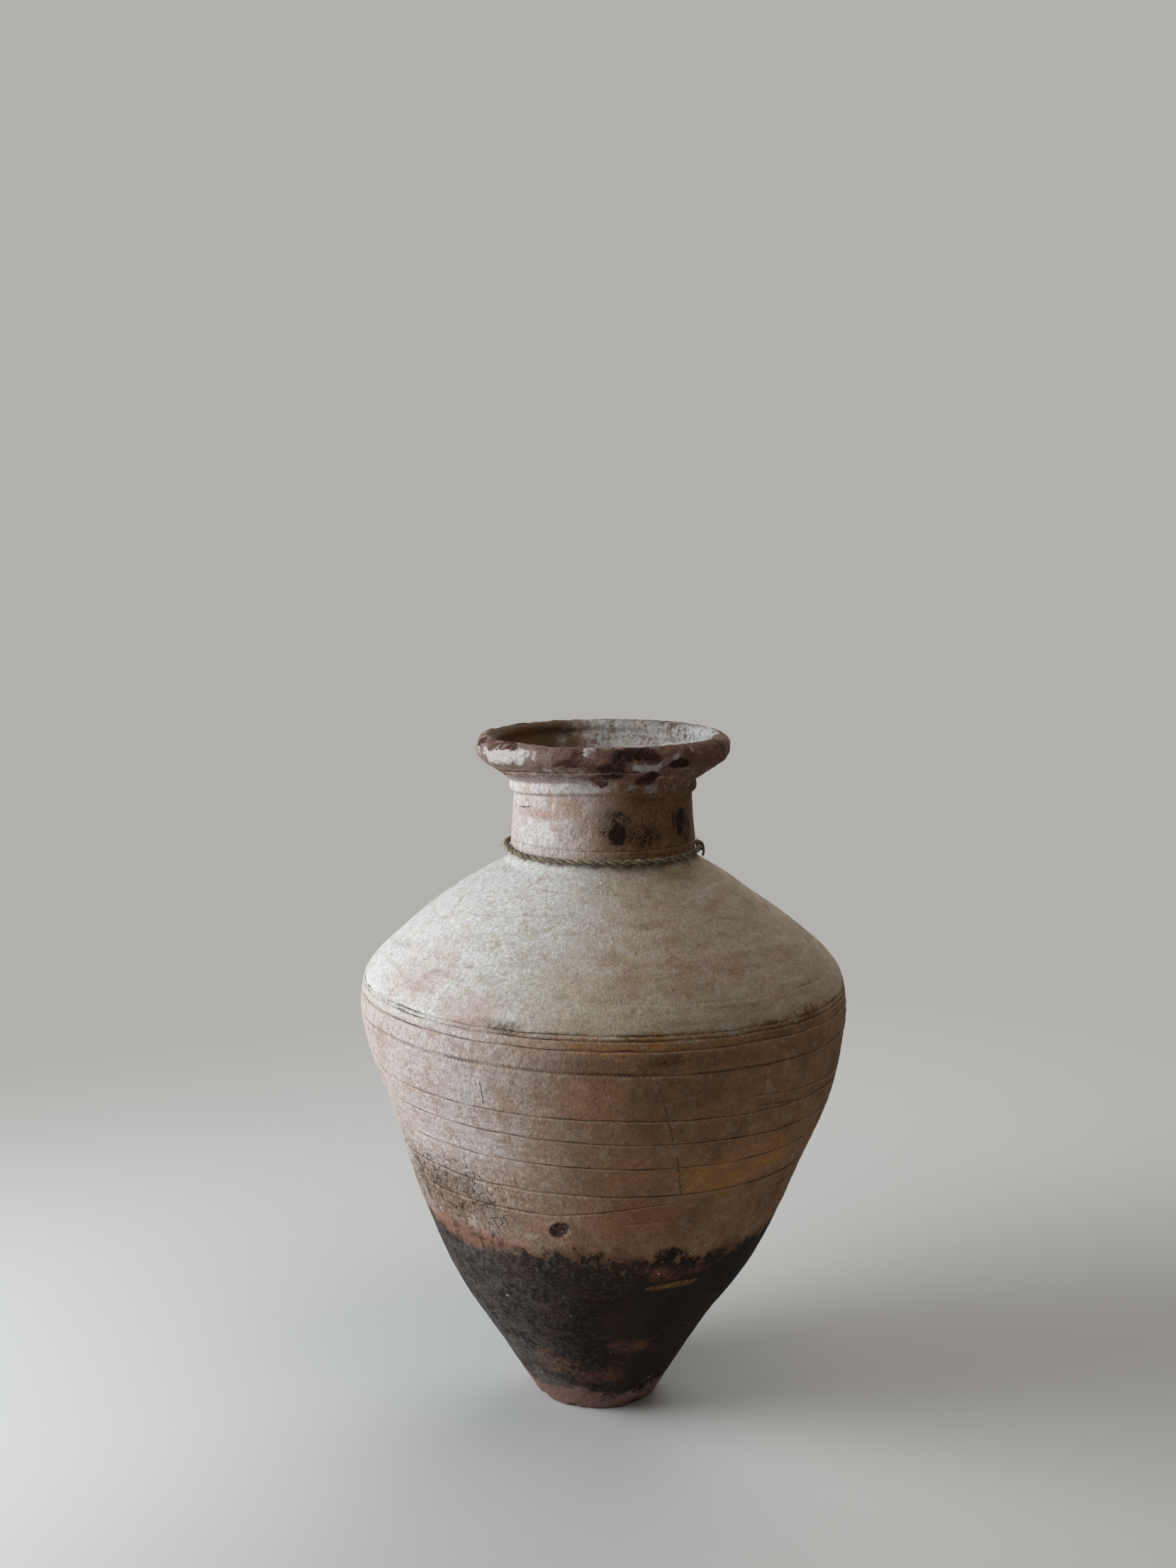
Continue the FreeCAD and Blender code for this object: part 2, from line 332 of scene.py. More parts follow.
class HalfSection:
    """Outline of a turned clay piece, walked with the clay on its left."""

    SECTORS = 24
    MERGE = 0.002 * MM

    def __init__(self, closed: bool = True) -> None:
        """Start an empty outline.

        Args:
            closed: Whether the last point joins the first one; otherwise both lie on the axis.
        """
        self.closed = closed
        self.rings: list[tuple[float, float, float, float, Face]] = []

    def add(self, line: np.ndarray, face: Face, spacing: float) -> None:
        """Append a stretch, with rings at an even spacing.

        A stretch that starts where the last one ended takes over the ring there.

        Args:
            line: Rows of radius and height in metres.
            face: Side of the wall it lies on.
            spacing: Distance between two rings in metres.
        """
        lengths = np.linalg.norm(np.diff(line, axis=0), axis=1)
        run = np.concatenate(([0.0], np.cumsum(lengths)))
        places = np.linspace(0.0, run[-1], max(2, round(run[-1] / spacing) + 1))
        radius = np.interp(places, run, line[:, 0])
        height = np.interp(places, run, line[:, 1])
        along = np.stack((np.gradient(radius), np.gradient(height)), axis=1)
        along /= np.linalg.norm(along, axis=1)[:, None]
        if self.rings and math.dist(self.rings[-1][:2], line[0]) < self.MERGE:
            self.rings.pop()
        for r, z, (across, up) in zip(radius, height, along):
            self.rings.append((r, z, up, -across, face))

    def turn(self, name: str, columns: int) -> bpy.types.Mesh:
        """Turn the outline about the axis.

        Args:
            name: Name of the mesh.
            columns: Number of steps in the full turn, a multiple of the sectors.

        Returns:
            Closed mesh with the vertex layers set.
        """
        bm = bmesh.new()
        side, out_radius, out_height = (bm.verts.layers.float.new(layer.value) for layer in Layer)
        outline = []
        for r, z, across, up, face in self.rings:
            vert = bm.verts.new((r, 0.0, z))
            vert[side] = face.value
            vert[out_radius] = across
            vert[out_height] = up
            outline.append(vert)
        followers = outline[1:] + outline[:1] if self.closed else outline[1:]
        edges = [bm.edges.new(pair) for pair in zip(outline, followers)]
        sector = FULL_TURN / self.SECTORS
        about = {"cent": (0, 0, 0), "axis": (0, 0, 1)}
        bmesh.ops.spin(bm, geom=outline + edges, angle=sector, steps=columns // self.SECTORS, **about)
        part = bm.verts[:] + bm.edges[:] + bm.faces[:]
        others = self.SECTORS - 1
        bmesh.ops.spin(bm, geom=part, angle=sector * others, steps=others, use_duplicate=True, **about)
        bmesh.ops.remove_doubles(bm, verts=bm.verts, dist=self.MERGE)
        bmesh.ops.recalc_face_normals(bm, faces=bm.faces)
        mesh = bpy.data.meshes.new(name)
        bm.to_mesh(mesh)
        bm.free()
        return mesh


class Trace:
    """Line of a half section that is drawn stretch by stretch, in millimetres."""

    STEPS = 16

    def __init__(self, radius: float, height: float) -> None:
        """Start at a radius and height."""
        self.points: list[Vector] = [Vector((radius, height, 0.0))]

    def to(self, radius: float, height: float) -> "Trace":
        """Go straight to a radius and height, and return the same trace."""
        self.points.append(Vector((radius, height, 0.0)))
        return self

    def bend(self, corner: Station, end: Station) -> "Trace":
        """Go to a point in a curve that rounds a corner.

        Args:
            corner: Radius and height of the corner.
            end: Radius and height of the end.

        Returns:
            The same trace.
        """
        start, peak, finish = self.points[-1], Vector((*corner, 0.0)), Vector((*end, 0.0))
        handles = (start.lerp(peak, 2.0 / 3.0), finish.lerp(peak, 2.0 / 3.0))
        self.points += geometry.interpolate_bezier(start, *handles, finish, self.STEPS)[1:]
        return self

    def roll(self, centre: Station, radius: float, first: float, last: float) -> "Trace":
        """Go round an arc.

        Args:
            centre: Radius and height of the arc's centre.
            radius: Radius of the arc.
            first: Angle at which it starts, in degrees over the outward direction.
            last: Angle at which it ends.

        Returns:
            The same trace.
        """
        for angle in np.radians(np.linspace(first, last, self.STEPS)):
            self.to(centre[0] + radius * math.cos(angle), centre[1] + radius * math.sin(angle))
        return self

    def line(self) -> np.ndarray:
        """Rows of radius and height in metres."""
        return np.array([(p.x * MM, p.y * MM) for p in self.points])


class BodyLine:
    """Smooth outer line of the body, and the inner line a wall away from it."""

    STATIONS: tuple[Station, ...] = (
        (62.2, 0), (111.4, 80), (157, 150), (189.2, 220), (214.4, 290), (236, 350), (247.6, 400),
        (249.8, 430), (241.5, 461), (202, 500), (147.5, 540.5), (102.5, 568.5),
    )
    WALL = 13.0
    FLOOR = 22.0
    STEPS = 40

    def __init__(self) -> None:
        """Draw both lines."""
        knots = [Vector((r, z, 0.0)) for r, z in self.STATIONS]
        last = len(knots) - 1
        points: list[Vector] = []
        for i in range(last):
            start, end = knots[i], knots[i + 1]
            leave = (end - knots[max(i - 1, 0)]).normalized()
            arrive = (knots[min(i + 2, last)] - start).normalized()
            reach = (end - start).length / 3.0
            handles = (start + leave * reach, end - arrive * reach)
            span = geometry.interpolate_bezier(start, *handles, end, self.STEPS)
            points += span if i == last - 1 else span[:-1]
        self.outer = np.array([(p.x, p.y) for p in points])
        along = np.gradient(self.outer, axis=0)
        along /= np.linalg.norm(along, axis=1)[:, None]
        self.inner = self.outer - np.stack((along[:, 1], -along[:, 0]), axis=1) * self.WALL

    def stretch(self, low: float, high: float) -> tuple[np.ndarray, np.ndarray]:
        """Part of both lines between two seams that are square to the wall.

        Args:
            low: Height of the lower seam outside, in millimetres.
            high: Height of the upper seam outside.

        Returns:
            The outer line upwards and the inner line downwards, in metres.
        """
        spots = np.arange(len(self.outer), dtype=float)
        first, last = np.interp((low, high), self.outer[:, 1], spots)
        chosen = np.concatenate(([first], spots[(spots > first) & (spots < last)], [last]))
        lines = [
            np.stack([np.interp(chosen, spots, line[:, k]) for k in range(2)], axis=1) * MM
            for line in (self.outer, self.inner)
        ]
        return lines[0], lines[1][::-1]

    def root(self) -> tuple[Station, Station]:
        """Outer and inner end of the seam under the neck, in millimetres."""
        return tuple(self.outer[-1]), tuple(self.inner[-1])


class Relief:
    """What hand and wear have done to the turned clay; all pieces share it, so that their seams meet."""

    DENTS: tuple[Dent, ...] = (
        Dent(-102.4, 243.6, 12, 9.5, 1.8, 0.7), Dent(-9, 657, 8, 5, 2.2), Dent(-24, 654, 6, 4, 1.6),
        Dent(6, 662, 9, 6, 1.8), Dent(-150, 654, 9, 4, 1.4), Dent(-62, 697, 9, 5, 1.5),
        Dent(25, 695, 12, 7, 1.8), Dent(-150, 3, 11, 6, 2.6), Dent(-112, 2, 8, 4, 1.8),
        Dent(-50, 3, 10, 6, 2.4), Dent(40, 4, 14, 7, 2.6), Dent(-83, 470, 4, 3, 0.9),
        Dent(-70, 514, 3, 4.5, 0.9), Dent(-95, 345, 3, 3, 0.8),
    )
    LINES: tuple[DrawnLine, ...] = (
        DrawnLine(257.8, 0.020, 0.8, 1, -152, -72, 14), DrawnLine(262, 0.010, 0.4, 0.9, -40, 150),
        DrawnLine(251, 0, 0.35, 0.9, -88, -58), DrawnLine(281.8, 0.027, 1.1, 1.3),
        DrawnLine(313.2, 0.027, 0.9), DrawnLine(340.6, 0.039, 0.9), DrawnLine(365.3, 0.033, 0.9),
        DrawnLine(394.7, 0.120, 0.7, 1, -58, -4), DrawnLine(382.7, 0.115, 0.7, 1, -58, -4),
        DrawnLine(435.1, 0.020, 1.4, 1.4), DrawnLine(444.3, 0.020, 1.2, 1.2), DrawnLine(449, 0.018, 1.1),
        DrawnLine(476.5, 0.041, 0.3, 1.2, -95, -20), DrawnLine(593.6, 0, 0.4, 0.9),
        DrawnLine(640, -0.1, 0.6, 0.7, -156, -138), DrawnLine(671, 0, 1, 1.6, -176, -70),
    )
    CORD_MARK = DrawnLine(412.5, 0.030, 1.3, 1.5)
    BELLY_LEAN, BELLY_SPAN = 6.0, (325.0, 62.0)
    FOOT_LEAN, FOOT_SPAN = -6.5, (215.0, 90.0)
    SHOULDER_LEAN, SHOULDER_SPAN = -3.2, (530.0, 28.0)
    FARTHEST, FAINT = 9.0, 0.05
    BURR_SHARE, BURR_DROP, BURR_REACH = 0.3, 0.3, 2.1
    RING_DEPTH, RING_TILT, RING_DRIFT, RING_PITCH = 0.16, 0.025, 2.0, 9.0
    RIM_RISE = (655.0, 672.0)
    CHIP_DEPTH, CHIP_ZONE = 1.6, (14.0, 3.0)
    INNER_RING_DEPTH, INNER_RING_PITCH = 0.7, 15.0
    RIDGE_LIFT, RIDGE_ZONE = 4.0, (612.0, 642.0, 676.0, 694.0)
    TURNED_ZONE = (190.0, 240.0, 440.0, 560.0)
    CORD_CALM, CORD_ZONE = 0.9, (566.0, 574.0, 590.0, 598.0)

    def lean(self, level: np.ndarray) -> np.ndarray:
        """How far the jar's middle stands off its axis towards +X.

        Args:
            level: Heights in millimetres.

        Returns:
            Offsets in metres.
        """
        belly = self.BELLY_LEAN * hill(level, *self.BELLY_SPAN)
        foot = self.FOOT_LEAN * ease(level, *self.FOOT_SPAN)
        shoulder = self.SHOULDER_LEAN * hill(level, *self.SHOULDER_SPAN)
        return (belly + foot + shoulder) * MM

    def lift(self, place: Places) -> np.ndarray:
        """How far the ridge under the rim rises in front and behind and dips at the sides, in metres."""
        return -self.RIDGE_LIFT * MM * band(place.level, *self.RIDGE_ZONE) * np.cos(2.0 * place.angle)

    def grooves(self, place: Places) -> tuple[np.ndarray, dict[Mark, np.ndarray]]:
        """Drawn lines and the cord mark.

        Args:
            place: The places.

        Returns:
            Offsets along the surface's normal in metres, and the marks that the finish needs for the lines.
        """
        offset, share = np.zeros(len(place.level)), np.zeros(len(place.level))
        nearest = np.full(len(place.level), self.FARTHEST)
        for line in (*self.LINES, self.CORD_MARK):
            above, strength = line.above(place), line.strength(place)
            groove = strength * hill(above, 0.0, line.half_width)
            off = np.abs(above + self.BURR_DROP)
            burr = strength * hill(off, self.BURR_REACH * line.half_width, line.half_width)
            offset += line.depth * MM * (self.BURR_SHARE * burr - groove)
            share = np.maximum(share, groove * min(1.0, line.depth))
            nearer = (np.abs(above) < np.abs(nearest)) & (strength > self.FAINT)
            nearest = np.where(nearer, above, nearest)
        return offset, {Mark.GROOVE: share, Mark.OFF_LINE: nearest}

    def offset(self, place: Places) -> np.ndarray:
        """Uneven surface of the thrown, dried and worn clay.

        Args:
            place: The places.

        Returns:
            Offsets along the surface's normal in metres.
        """
        level = place.level
        spiral = level + self.RING_TILT * place.points[:, 0] / MM + place.rough(slow=self.RING_DRIFT)
        rings = band(level, *self.TURNED_ZONE) * np.sin(FULL_TURN * spiral / self.RING_PITCH)
        rim = ease(level, *self.RIM_RISE) * place.rough(ragged=0.5, sandy=0.25)
        chips = ease(level, *self.CHIP_ZONE) * np.clip(place.ragged, 0.0, 1.0)
        lumps = place.rough(slow=0.8, ragged=0.3, sandy=0.13)
        outside = lumps + self.RING_DEPTH * rings + rim - self.CHIP_DEPTH * chips
        outside *= 1.0 - self.CORD_CALM * band(level, *self.CORD_ZONE)
        inner_rings = self.INNER_RING_DEPTH * np.sin(FULL_TURN * level / self.INNER_RING_PITCH)
        inside = inner_rings + place.rough(slow=1.2, sandy=0.2)
        return np.where(place.side > 0.5, outside, inside) * MM

    def apply(self, mesh: bpy.types.Mesh, place: Places) -> dict[Mark, np.ndarray]:
        """Move the vertices of a turned mesh.

        Args:
            mesh: The mesh.
            place: Its places.

        Returns:
            Marks that the finish needs for the lines.
        """
        grooves, lines = self.grooves(place)
        out = self.offset(place) + grooves + sum(dent.offset(place) for dent in self.DENTS)
        moved = place.points.copy()
        moved[:, 0] += out * place.out_radius * np.cos(place.angle) + self.lean(place.level)
        moved[:, 1] += out * place.out_radius * np.sin(place.angle)
        moved[:, 2] += out * place.out_height + self.lift(place)
        np.maximum(moved[:, 2], 0.0, out=moved[:, 2])
        mesh.vertices.foreach_set("co", moved.ravel())
        mesh.update()
        return lines


class Weathering:
    """Where the clay is pale, stained, sooted or worn, and where light and shade are painted on it, in
    degrees from +X and millimetres.
    """

    PATCHES: dict[Mark, tuple[Patch, ...]] = {
        Mark.BARE: (
            Patch(-107, 687, 20, 12), Patch(-30, 689, 42, 12, 0.75), Patch(-150, 697, 40, 6, 0.7),
            Patch(-81, 691, 38, 10), Patch(-89, 671, 22, 16), Patch(-66.8, 663.5, 10, 6.5),
            Patch(38, 672, 24, 12, 0.9), Patch(85, 690, 26, 9), Patch(125, 668, 18, 10, 0.9),
            Patch(150, 695, 20, 6, 0.8), Patch(10, 676, 18, 10, 0.9),
        ),
        Mark.STAIN: (
            Patch(-77, 692, 30, 8, 0.6), Patch(-87, 673, 17, 13, 0.55), Patch(-66.8, 663.5, 9, 6, 0.5),
            Patch(-57.4, 681.3, 15, 5, 0.85), Patch(-82, 610, 9, 12, 0.95), Patch(-80, 616, 22, 15, 0.48),
            Patch(-60, 608, 19, 8, 0.5), Patch(-66, 610, 30, 13, 0.45), Patch(-41, 620, 4, 11, 0.52),
            Patch(-34, 614, 8, 17, 0.74), Patch(-26, 607, 14, 16, 0.5), Patch(-75.6, 424, 17, 6, 0.4),
            Patch(-102.4, 243.6, 12, 9, 0.75), Patch(52, 608, 18, 15, 0.7), Patch(118, 624, 28, 10, 0.5),
            Patch(70, 425, 26, 8, 0.42), Patch(150, 300, 9, 7, 0.6),
        ),
        Mark.GRIME: (
            Patch(-40, 668, 60, 12, 0.6), Patch(-80, 614, 32, 20, 0.7), Patch(-58, 612, 34, 17, 0.7),
            Patch(-34, 610, 30, 24, 0.95), Patch(-114, 452, 20, 7, 0.7), Patch(-62, 441, 130, 9, 0.55),
            Patch(-75.6, 424, 28, 10, 1), Patch(-80, 421, 90, 9, 0.5), Patch(-70, 392, 60, 18, 0.35),
            Patch(-140, 262, 62, 26, 0.7), Patch(18, 421, 90, 9, 0.6), Patch(112, 440, 100, 9, 0.7),
            Patch(58, 300, 42, 50, 0.4), Patch(160, 250, 70, 24, 0.6),
        ),
        Mark.LIME: (
            Patch(-142, 688, 45, 12, 0.8), Patch(-97, 691, 13, 11, 0.8), Patch(-71, 678, 18, 8, 0.8),
            Patch(-50, 691, 26, 6, 0.65), Patch(-125, 653, 75, 6, 0.6), Patch(-60, 653, 40, 5, 0.4),
            Patch(-138, 608, 30, 20, 0.46), Patch(-129, 611, 8, 13, 0.8), Patch(-150, 640, 40, 8, 0.42),
            # The two patches on the inner face are lime and painted light on the inner wall that the window
            # lamp reaches.
            Patch(-100.4, 244, 2.6, 3.2, 1), Patch(22, 680, 52, 48, 0.85, Face.INNER),
            Patch(60, 682, 75, 46, 0.45, Face.INNER), Patch(60, 690, 40, 10, 0.8),
            Patch(108, 684, 30, 12, 0.75), Patch(160, 690, 36, 10, 0.7), Patch(4, 692, 20, 7, 0.5),
            Patch(84, 622, 26, 18, 0.3), Patch(142, 602, 32, 20, 0.36),
        ),
        Mark.IRON: (
            Patch(-134, 627, 30, 6, 0.55), Patch(-112, 638, 12, 8, 0.6), Patch(-142.5, 477, 44, 24, 0.36),
            Patch(-122, 462, 40, 16, 0.4), Patch(-68, 500, 60, 18, 0.35), Patch(-93.9, 383, 26, 28, 0.45),
            Patch(-85, 312, 28, 20, 0.5), Patch(-82, 258, 34, 18, 0.6), Patch(-137, 217, 66, 13, 0.6),
            Patch(-64, 188, 31, 11, 0.5), Patch(-112, 64, 26, 15, 0.4), Patch(-90, 48, 30, 10, 0.35),
            Patch(-74, 92, 24, 10, 0.3), Patch(20, 330, 50, 40, 0.5), Patch(75, 250, 60, 26, 0.55),
            Patch(130, 372, 46, 46, 0.5), Patch(166, 300, 42, 26, 0.45), Patch(96, 492, 70, 20, 0.4),
        ),
        Mark.OCHRE: (
            Patch(-78, 440, 105, 10, 0.4), Patch(-62, 298, 40, 22, 0.7), Patch(-47, 310, 40, 18, 0.75),
            Patch(-64.5, 171, 24, 4, 1), Patch(100, 330, 44, 18, 0.3), Patch(36, 176, 24, 5, 0.9),
        ),
        Mark.SOOT: (Patch(-70, 211, 13, 7, 0.6),),
    }
    SOOT_EDGE: tuple[Station, ...] = (
        (-180, 204), (-152, 215), (-128, 211), (-113, 206), (-98, 210), (-88, 203), (-58, 198), (-28, 204),
        (8, 212), (44, 188), (72, 194), (100, 219), (128, 196), (154, 209), (180, 204),
    )
    SOOT_FADE, SOOT_SWING = 27.0, 22.0
    # Dust and painted light: the pale mark is laid on the side that faces the window lamp, most of all on the
    # upper shoulder there.
    PALE_SIDE, PALE_TURN, BEHIND = -165.0, (80.0, 28.0), 1.5
    DUST_SHARES, DUST_RISE, DUST_FOOT = (0.42, 0.58, 0.3), (225.0, 350.0), (130.0, 50.0)
    HIGH_DUST, HIGH_TURN, HIGH_RISE = 0.9, (98.0, 40.0), (455.0, 540.0)
    CREAM_RISE, CREAM_END = (428.0, 462.0), (586.0, 574.0)
    RIM_RISE = (654.0, 672.0)
    RIM_LIME, LIME_RISE, LIME_LOST = 0.26, (646.0, 656.0), 0.95
    FOOT_EDGE = (46.0, 6.0)
    # Painted shade: the soot turns near-black round the front-right.
    CHAR_SIDE, CHAR_TURN, CHAR_DRIFT = -22.0, (82.0, 28.0), 0.25
    # Painted shade: the neck is darkened on the side away from the window lamp.
    NECK_GRIME, NECK_TURN, NECK_ZONE = 0.6, (55.0, 110.0), (578.0, 590.0, 648.0, 658.0)
    # Painted shadow, with some dirt, in a band on the clay just under the cord.
    CORD_GRIME, UNDER_CORD = 0.8, (580.0, 3.5)
    CRACKLE_TURN, CRACKLE_ZONE = (68.0, 30.0), (262.0, 44.0)

    def fields(self, place: Places) -> dict[Mark, np.ndarray]:
        """Shares of each mark over a mesh.

        Args:
            place: The places.

        Returns:
            One array per mark.
        """
        level, slow = place.level, place.slow
        marks = {mark: np.zeros(len(level)) for mark in Mark}
        for mark, patches in self.PATCHES.items():
            for patch in patches:
                marks[mark] = np.maximum(marks[mark], patch.cover(place))
        # Angles from the side that faces the window lamp, where dust and painted light lie.
        turn = np.degrees(place.turn_from(self.PALE_SIDE))
        left = np.abs(turn) * np.where(turn < 0.0, self.BEHIND, 1.0)
        right = np.degrees(np.abs(place.turn_from(self.CHAR_SIDE)) + self.CHAR_DRIFT * slow)

        low, upper, foot = self.DUST_SHARES
        dusty = low + upper * ease(level, *self.DUST_RISE) + foot * ease(level, *self.DUST_FOOT)
        # Dust and painted light on the upper shoulder on the lamp side.
        high = self.HIGH_DUST * ease(left, *self.HIGH_TURN) * ease(level, *self.HIGH_RISE)
        border = np.interp(np.degrees(place.angle), *zip(*self.SOOT_EDGE))
        border += place.rough(slow=5.0, ragged=6.0, sandy=3.0)
        fade = self.SOOT_FADE + self.SOOT_SWING * np.clip(slow, -0.6, 0.9)
        # Painted shade on the neck away from the lamp.
        neck = self.NECK_GRIME * ease(left, *self.NECK_TURN) * band(level, *self.NECK_ZONE)
        wash = ease(level + place.rough(slow=7.0, ragged=3.0), *self.CREAM_RISE)
        wholes = {
            Mark.CREAM: wash * ease(level, *self.CREAM_END),
            # Dust and painted light, strongest on the side that faces the window lamp.
            Mark.DUST: np.maximum(ease(left, *self.PALE_TURN) * dusty, high),
            Mark.RIM: ease(level, *self.RIM_RISE),
            Mark.LIME: self.RIM_LIME * ease(level, *self.LIME_RISE),
            Mark.FOOT: ease(level + place.rough(slow=9.0, ragged=8.0), *self.FOOT_EDGE),
            Mark.SOOT: np.clip(0.5 + (border - level) / fade, 0.0, 1.0),
            # Painted shade on the front-right of the soot.
            Mark.CHAR: ease(right, *self.CHAR_TURN),
            Mark.CRACKLE: ease(left, *self.CRACKLE_TURN) * hill(level, *self.CRACKLE_ZONE),
            # Painted shade on the neck, and a painted shadow with some dirt under the cord.
            Mark.GRIME: np.maximum(neck, self.CORD_GRIME * hill(level, *self.UNDER_CORD)),
        }
        for mark, share in wholes.items():
            marks[mark] = np.maximum(marks[mark], place.side * share)
        marks[Mark.LIME] *= 1.0 - self.LIME_LOST * marks[Mark.BARE]
        marks[Mark.INSIDE] = 1.0 - place.side
        return marks

    def apply(self, mesh: bpy.types.Mesh, place: Places, lines: dict[Mark, np.ndarray]) -> None:
        """Write the marks to a mesh.

        Args:
            mesh: The mesh.
            place: Its places.
            lines: Marks of the drawn lines.
        """
        for mark, values in {**self.fields(place), **lines}.items():
            attribute = mesh.attributes.new(mark.value, "FLOAT", "POINT")
            attribute.data.foreach_set("value", values.astype(np.float32))


class NodeGraph:
    """Shorthand for the nodes of one material."""

    def __init__(self, name: str) -> None:
        """Start a material.

        Args:
            name: Name of the material.
        """
        self.material = bpy.data.materials.new(name)
        self.material.use_nodes = True
        self.tree = self.material.node_tree
        self.shader = self.tree.nodes["Principled BSDF"]
        self.place = self.tree.nodes.new("ShaderNodeTexCoord").outputs["Object"]

    def put(self, socket: Socket, value: Input) -> None:
        """Link or set a socket.

        Args:
            socket: Input to fill.
            value: Output to link, or the number, colour or vector to set.
        """
        if isinstance(value, Socket):
            self.tree.links.new(value, socket)
        elif socket.type == "RGBA":
            socket.default_value = (*value, 1.0)
        else:
            socket.default_value = value

    def node(self, kind: str, inputs: dict[Union[int, str], Input], **settings: str) -> bpy.types.Node:
        """Add a node.

        Args:
            kind: Kind of shader node.
            inputs: What its inputs take, by their number or name.
            settings: Its settings, which are made before the inputs are filled.

        Returns:
            The node.
        """
        node = self.tree.nodes.new("ShaderNode" + kind)
        for name, choice in settings.items():
            setattr(node, name, choice)
        for key, value in inputs.items():
            self.put(node.inputs[key], value)
        return node

    def finish(self, inputs: dict[str, Input]) -> bpy.types.Material:
        """Fill inputs of the material's shader.

        Args:
            inputs: What they take, by their names.

        Returns:
            The material.
        """
        for name, value in inputs.items():
            self.put(self.shader.inputs[name], value)
        return self.material

    def math(self, operation: str, first: Value, second: Value = 0.0) -> Socket:
        """Result of an operation on one or two numbers."""
        return self.node("Math", {0: first, 1: second}, operation=operation).outputs[0]

    def plus(self, *values: Value) -> Value:
        """Sum of numbers."""
        return functools.reduce(lambda one, other: self.math("ADD", one, other), values)

    def times(self, *values: Value) -> Value:
        """Product of numbers."""
        return functools.reduce(lambda one, other: self.math("MULTIPLY", one, other), values)

    def minus(self, first: Value, second: Value) -> Socket:
        """First number less the second."""
        return self.math("SUBTRACT", first, second)

    def larger(self, first: Value, second: Value) -> Socket:
        """Larger one of two numbers."""
        return self.math("MAXIMUM", first, second)

    def noise(
        self,
        size: float,
        detail: float = 4.0,
        roughness: float = 0.6,
        warp: float = 0.0,
        place: Optional[Socket] = None,
    ) -> Socket:
        """Noise on the object's own coordinates.

        Args:
            size: Size of the largest spots in metres.
            detail: Number of finer layers.
            roughness: Strength of the finer layers.
            warp: How much the pattern is bent.
            place: Coordinates, if not the plain ones.

        Returns:
            Values around one half.
        """
        inputs = {"Vector": place or self.place, "Scale": 1.0 / size}
        inputs |= {"Detail": detail, "Roughness": roughness, "Distortion": warp}
        return self.node("TexNoise", inputs).outputs[0]

    def net(self, size: float, bend: float) -> Socket:
        """Distance to the edges of bent cells, as a share of a cell; both sizes are in metres."""
        inputs = {"Vector": self.bent(bend, bend), "Scale": 1.0 / size}
        return self.node("TexVoronoi", inputs, feature="DISTANCE_TO_EDGE").outputs["Distance"]

    def specks(self, size: float, radius: float, share: float) -> Socket:
        """Scattered dots.

        Args:
            size: Size of a cell in metres, of which some have a dot.
            radius: Radius of the dots as a share of a cell.
            share: Share of the cells that stay empty.

        Returns:
            1 in the dots.
        """
        cell = self.node("TexVoronoi", {"Vector": self.bent(4 * MM, 2 * MM), "Scale": 1.0 / size})
        dot = self.step(cell.outputs["Distance"], radius, 0.6 * radius)
        return self.times(dot, self.math("GREATER_THAN", cell.outputs["Color"], share))

    def step(self, value: Value, low: float, high: float, most: float = 1.0) -> Socket:
        """Smooth step of a value, from 0 at low to the most at high."""
        inputs = {0: value, 1: low, 2: high, 4: most}
        return self.node("MapRange", inputs, interpolation_type="SMOOTHSTEP").outputs[0]

    def mix(self, share: Value, first: Tint, second: Tint, blend: str = "MIX") -> Socket:
        """First colour with a share of the second one laid on it."""
        inputs = {0: share, 6: first, 7: second}
        return self.node("Mix", inputs, data_type="RGBA", blend_type=blend).outputs[2]

    def coats(self, ground: Tint, *coats: tuple[Value, Tint]) -> Tint:
        """Colour of coats that lie on each other.

        Args:
            ground: Colour under them.
            coats: Share and colour of each coat, from the lowest to the highest.

        Returns:
            The colour that is seen.
        """
        for share, tint in coats:
            ground = self.mix(share, ground, tint)
        return ground

    def squeezed(self, across: float, up: float) -> Socket:
        """Coordinates squeezed across the axis and along it, so that noise runs round the wall or down it."""
        inputs = {0: self.place, 1: (across, across, up)}
        return self.node("VectorMath", inputs, operation="MULTIPLY").outputs[0]

    def bent(self, size: float, reach: float) -> Socket:
        """Coordinates that noise has bent.

        Args:
            size: Size of the bends in metres.
            reach: How far they go in metres.

        Returns:
            The coordinates.
        """
        swirl = self.node("TexNoise", {"Vector": self.place, "Scale": 1.0 / size}).outputs["Color"]
        inputs = {0: swirl, 1: (reach, reach, reach), 2: self.place}
        return self.node("VectorMath", inputs, operation="MULTIPLY_ADD").outputs[0]

    def polar(self) -> tuple[Socket, Socket, Socket]:
        """The object's own coordinates, taken round its axis.

        Returns:
            Angle from +X, distance from the axis and height.
        """
        x, y, z = self.node("SeparateXYZ", {0: self.place}).outputs
        square = self.plus(self.times(x, x), self.times(y, y))
        return self.math("ARCTAN2", y, x), self.math("SQRT", square), z

    def mark(self, mark: Mark) -> Socket:
        """Share of a mark that the mesh carries."""
        return self.node("Attribute", {}, attribute_name=mark.value).outputs["Fac"]

    def dissolve(self, mark: Mark, pattern: Socket, soft: float, most: float = 1.0) -> Socket:
        """Share of a mark, up to the most, that breaks up along noise from 0 to 1 where the mark is weak."""
        lead = self.minus(self.times(self.mark(mark), 1.0 + soft), pattern)
        return self.step(lead, 0.0, soft, most)

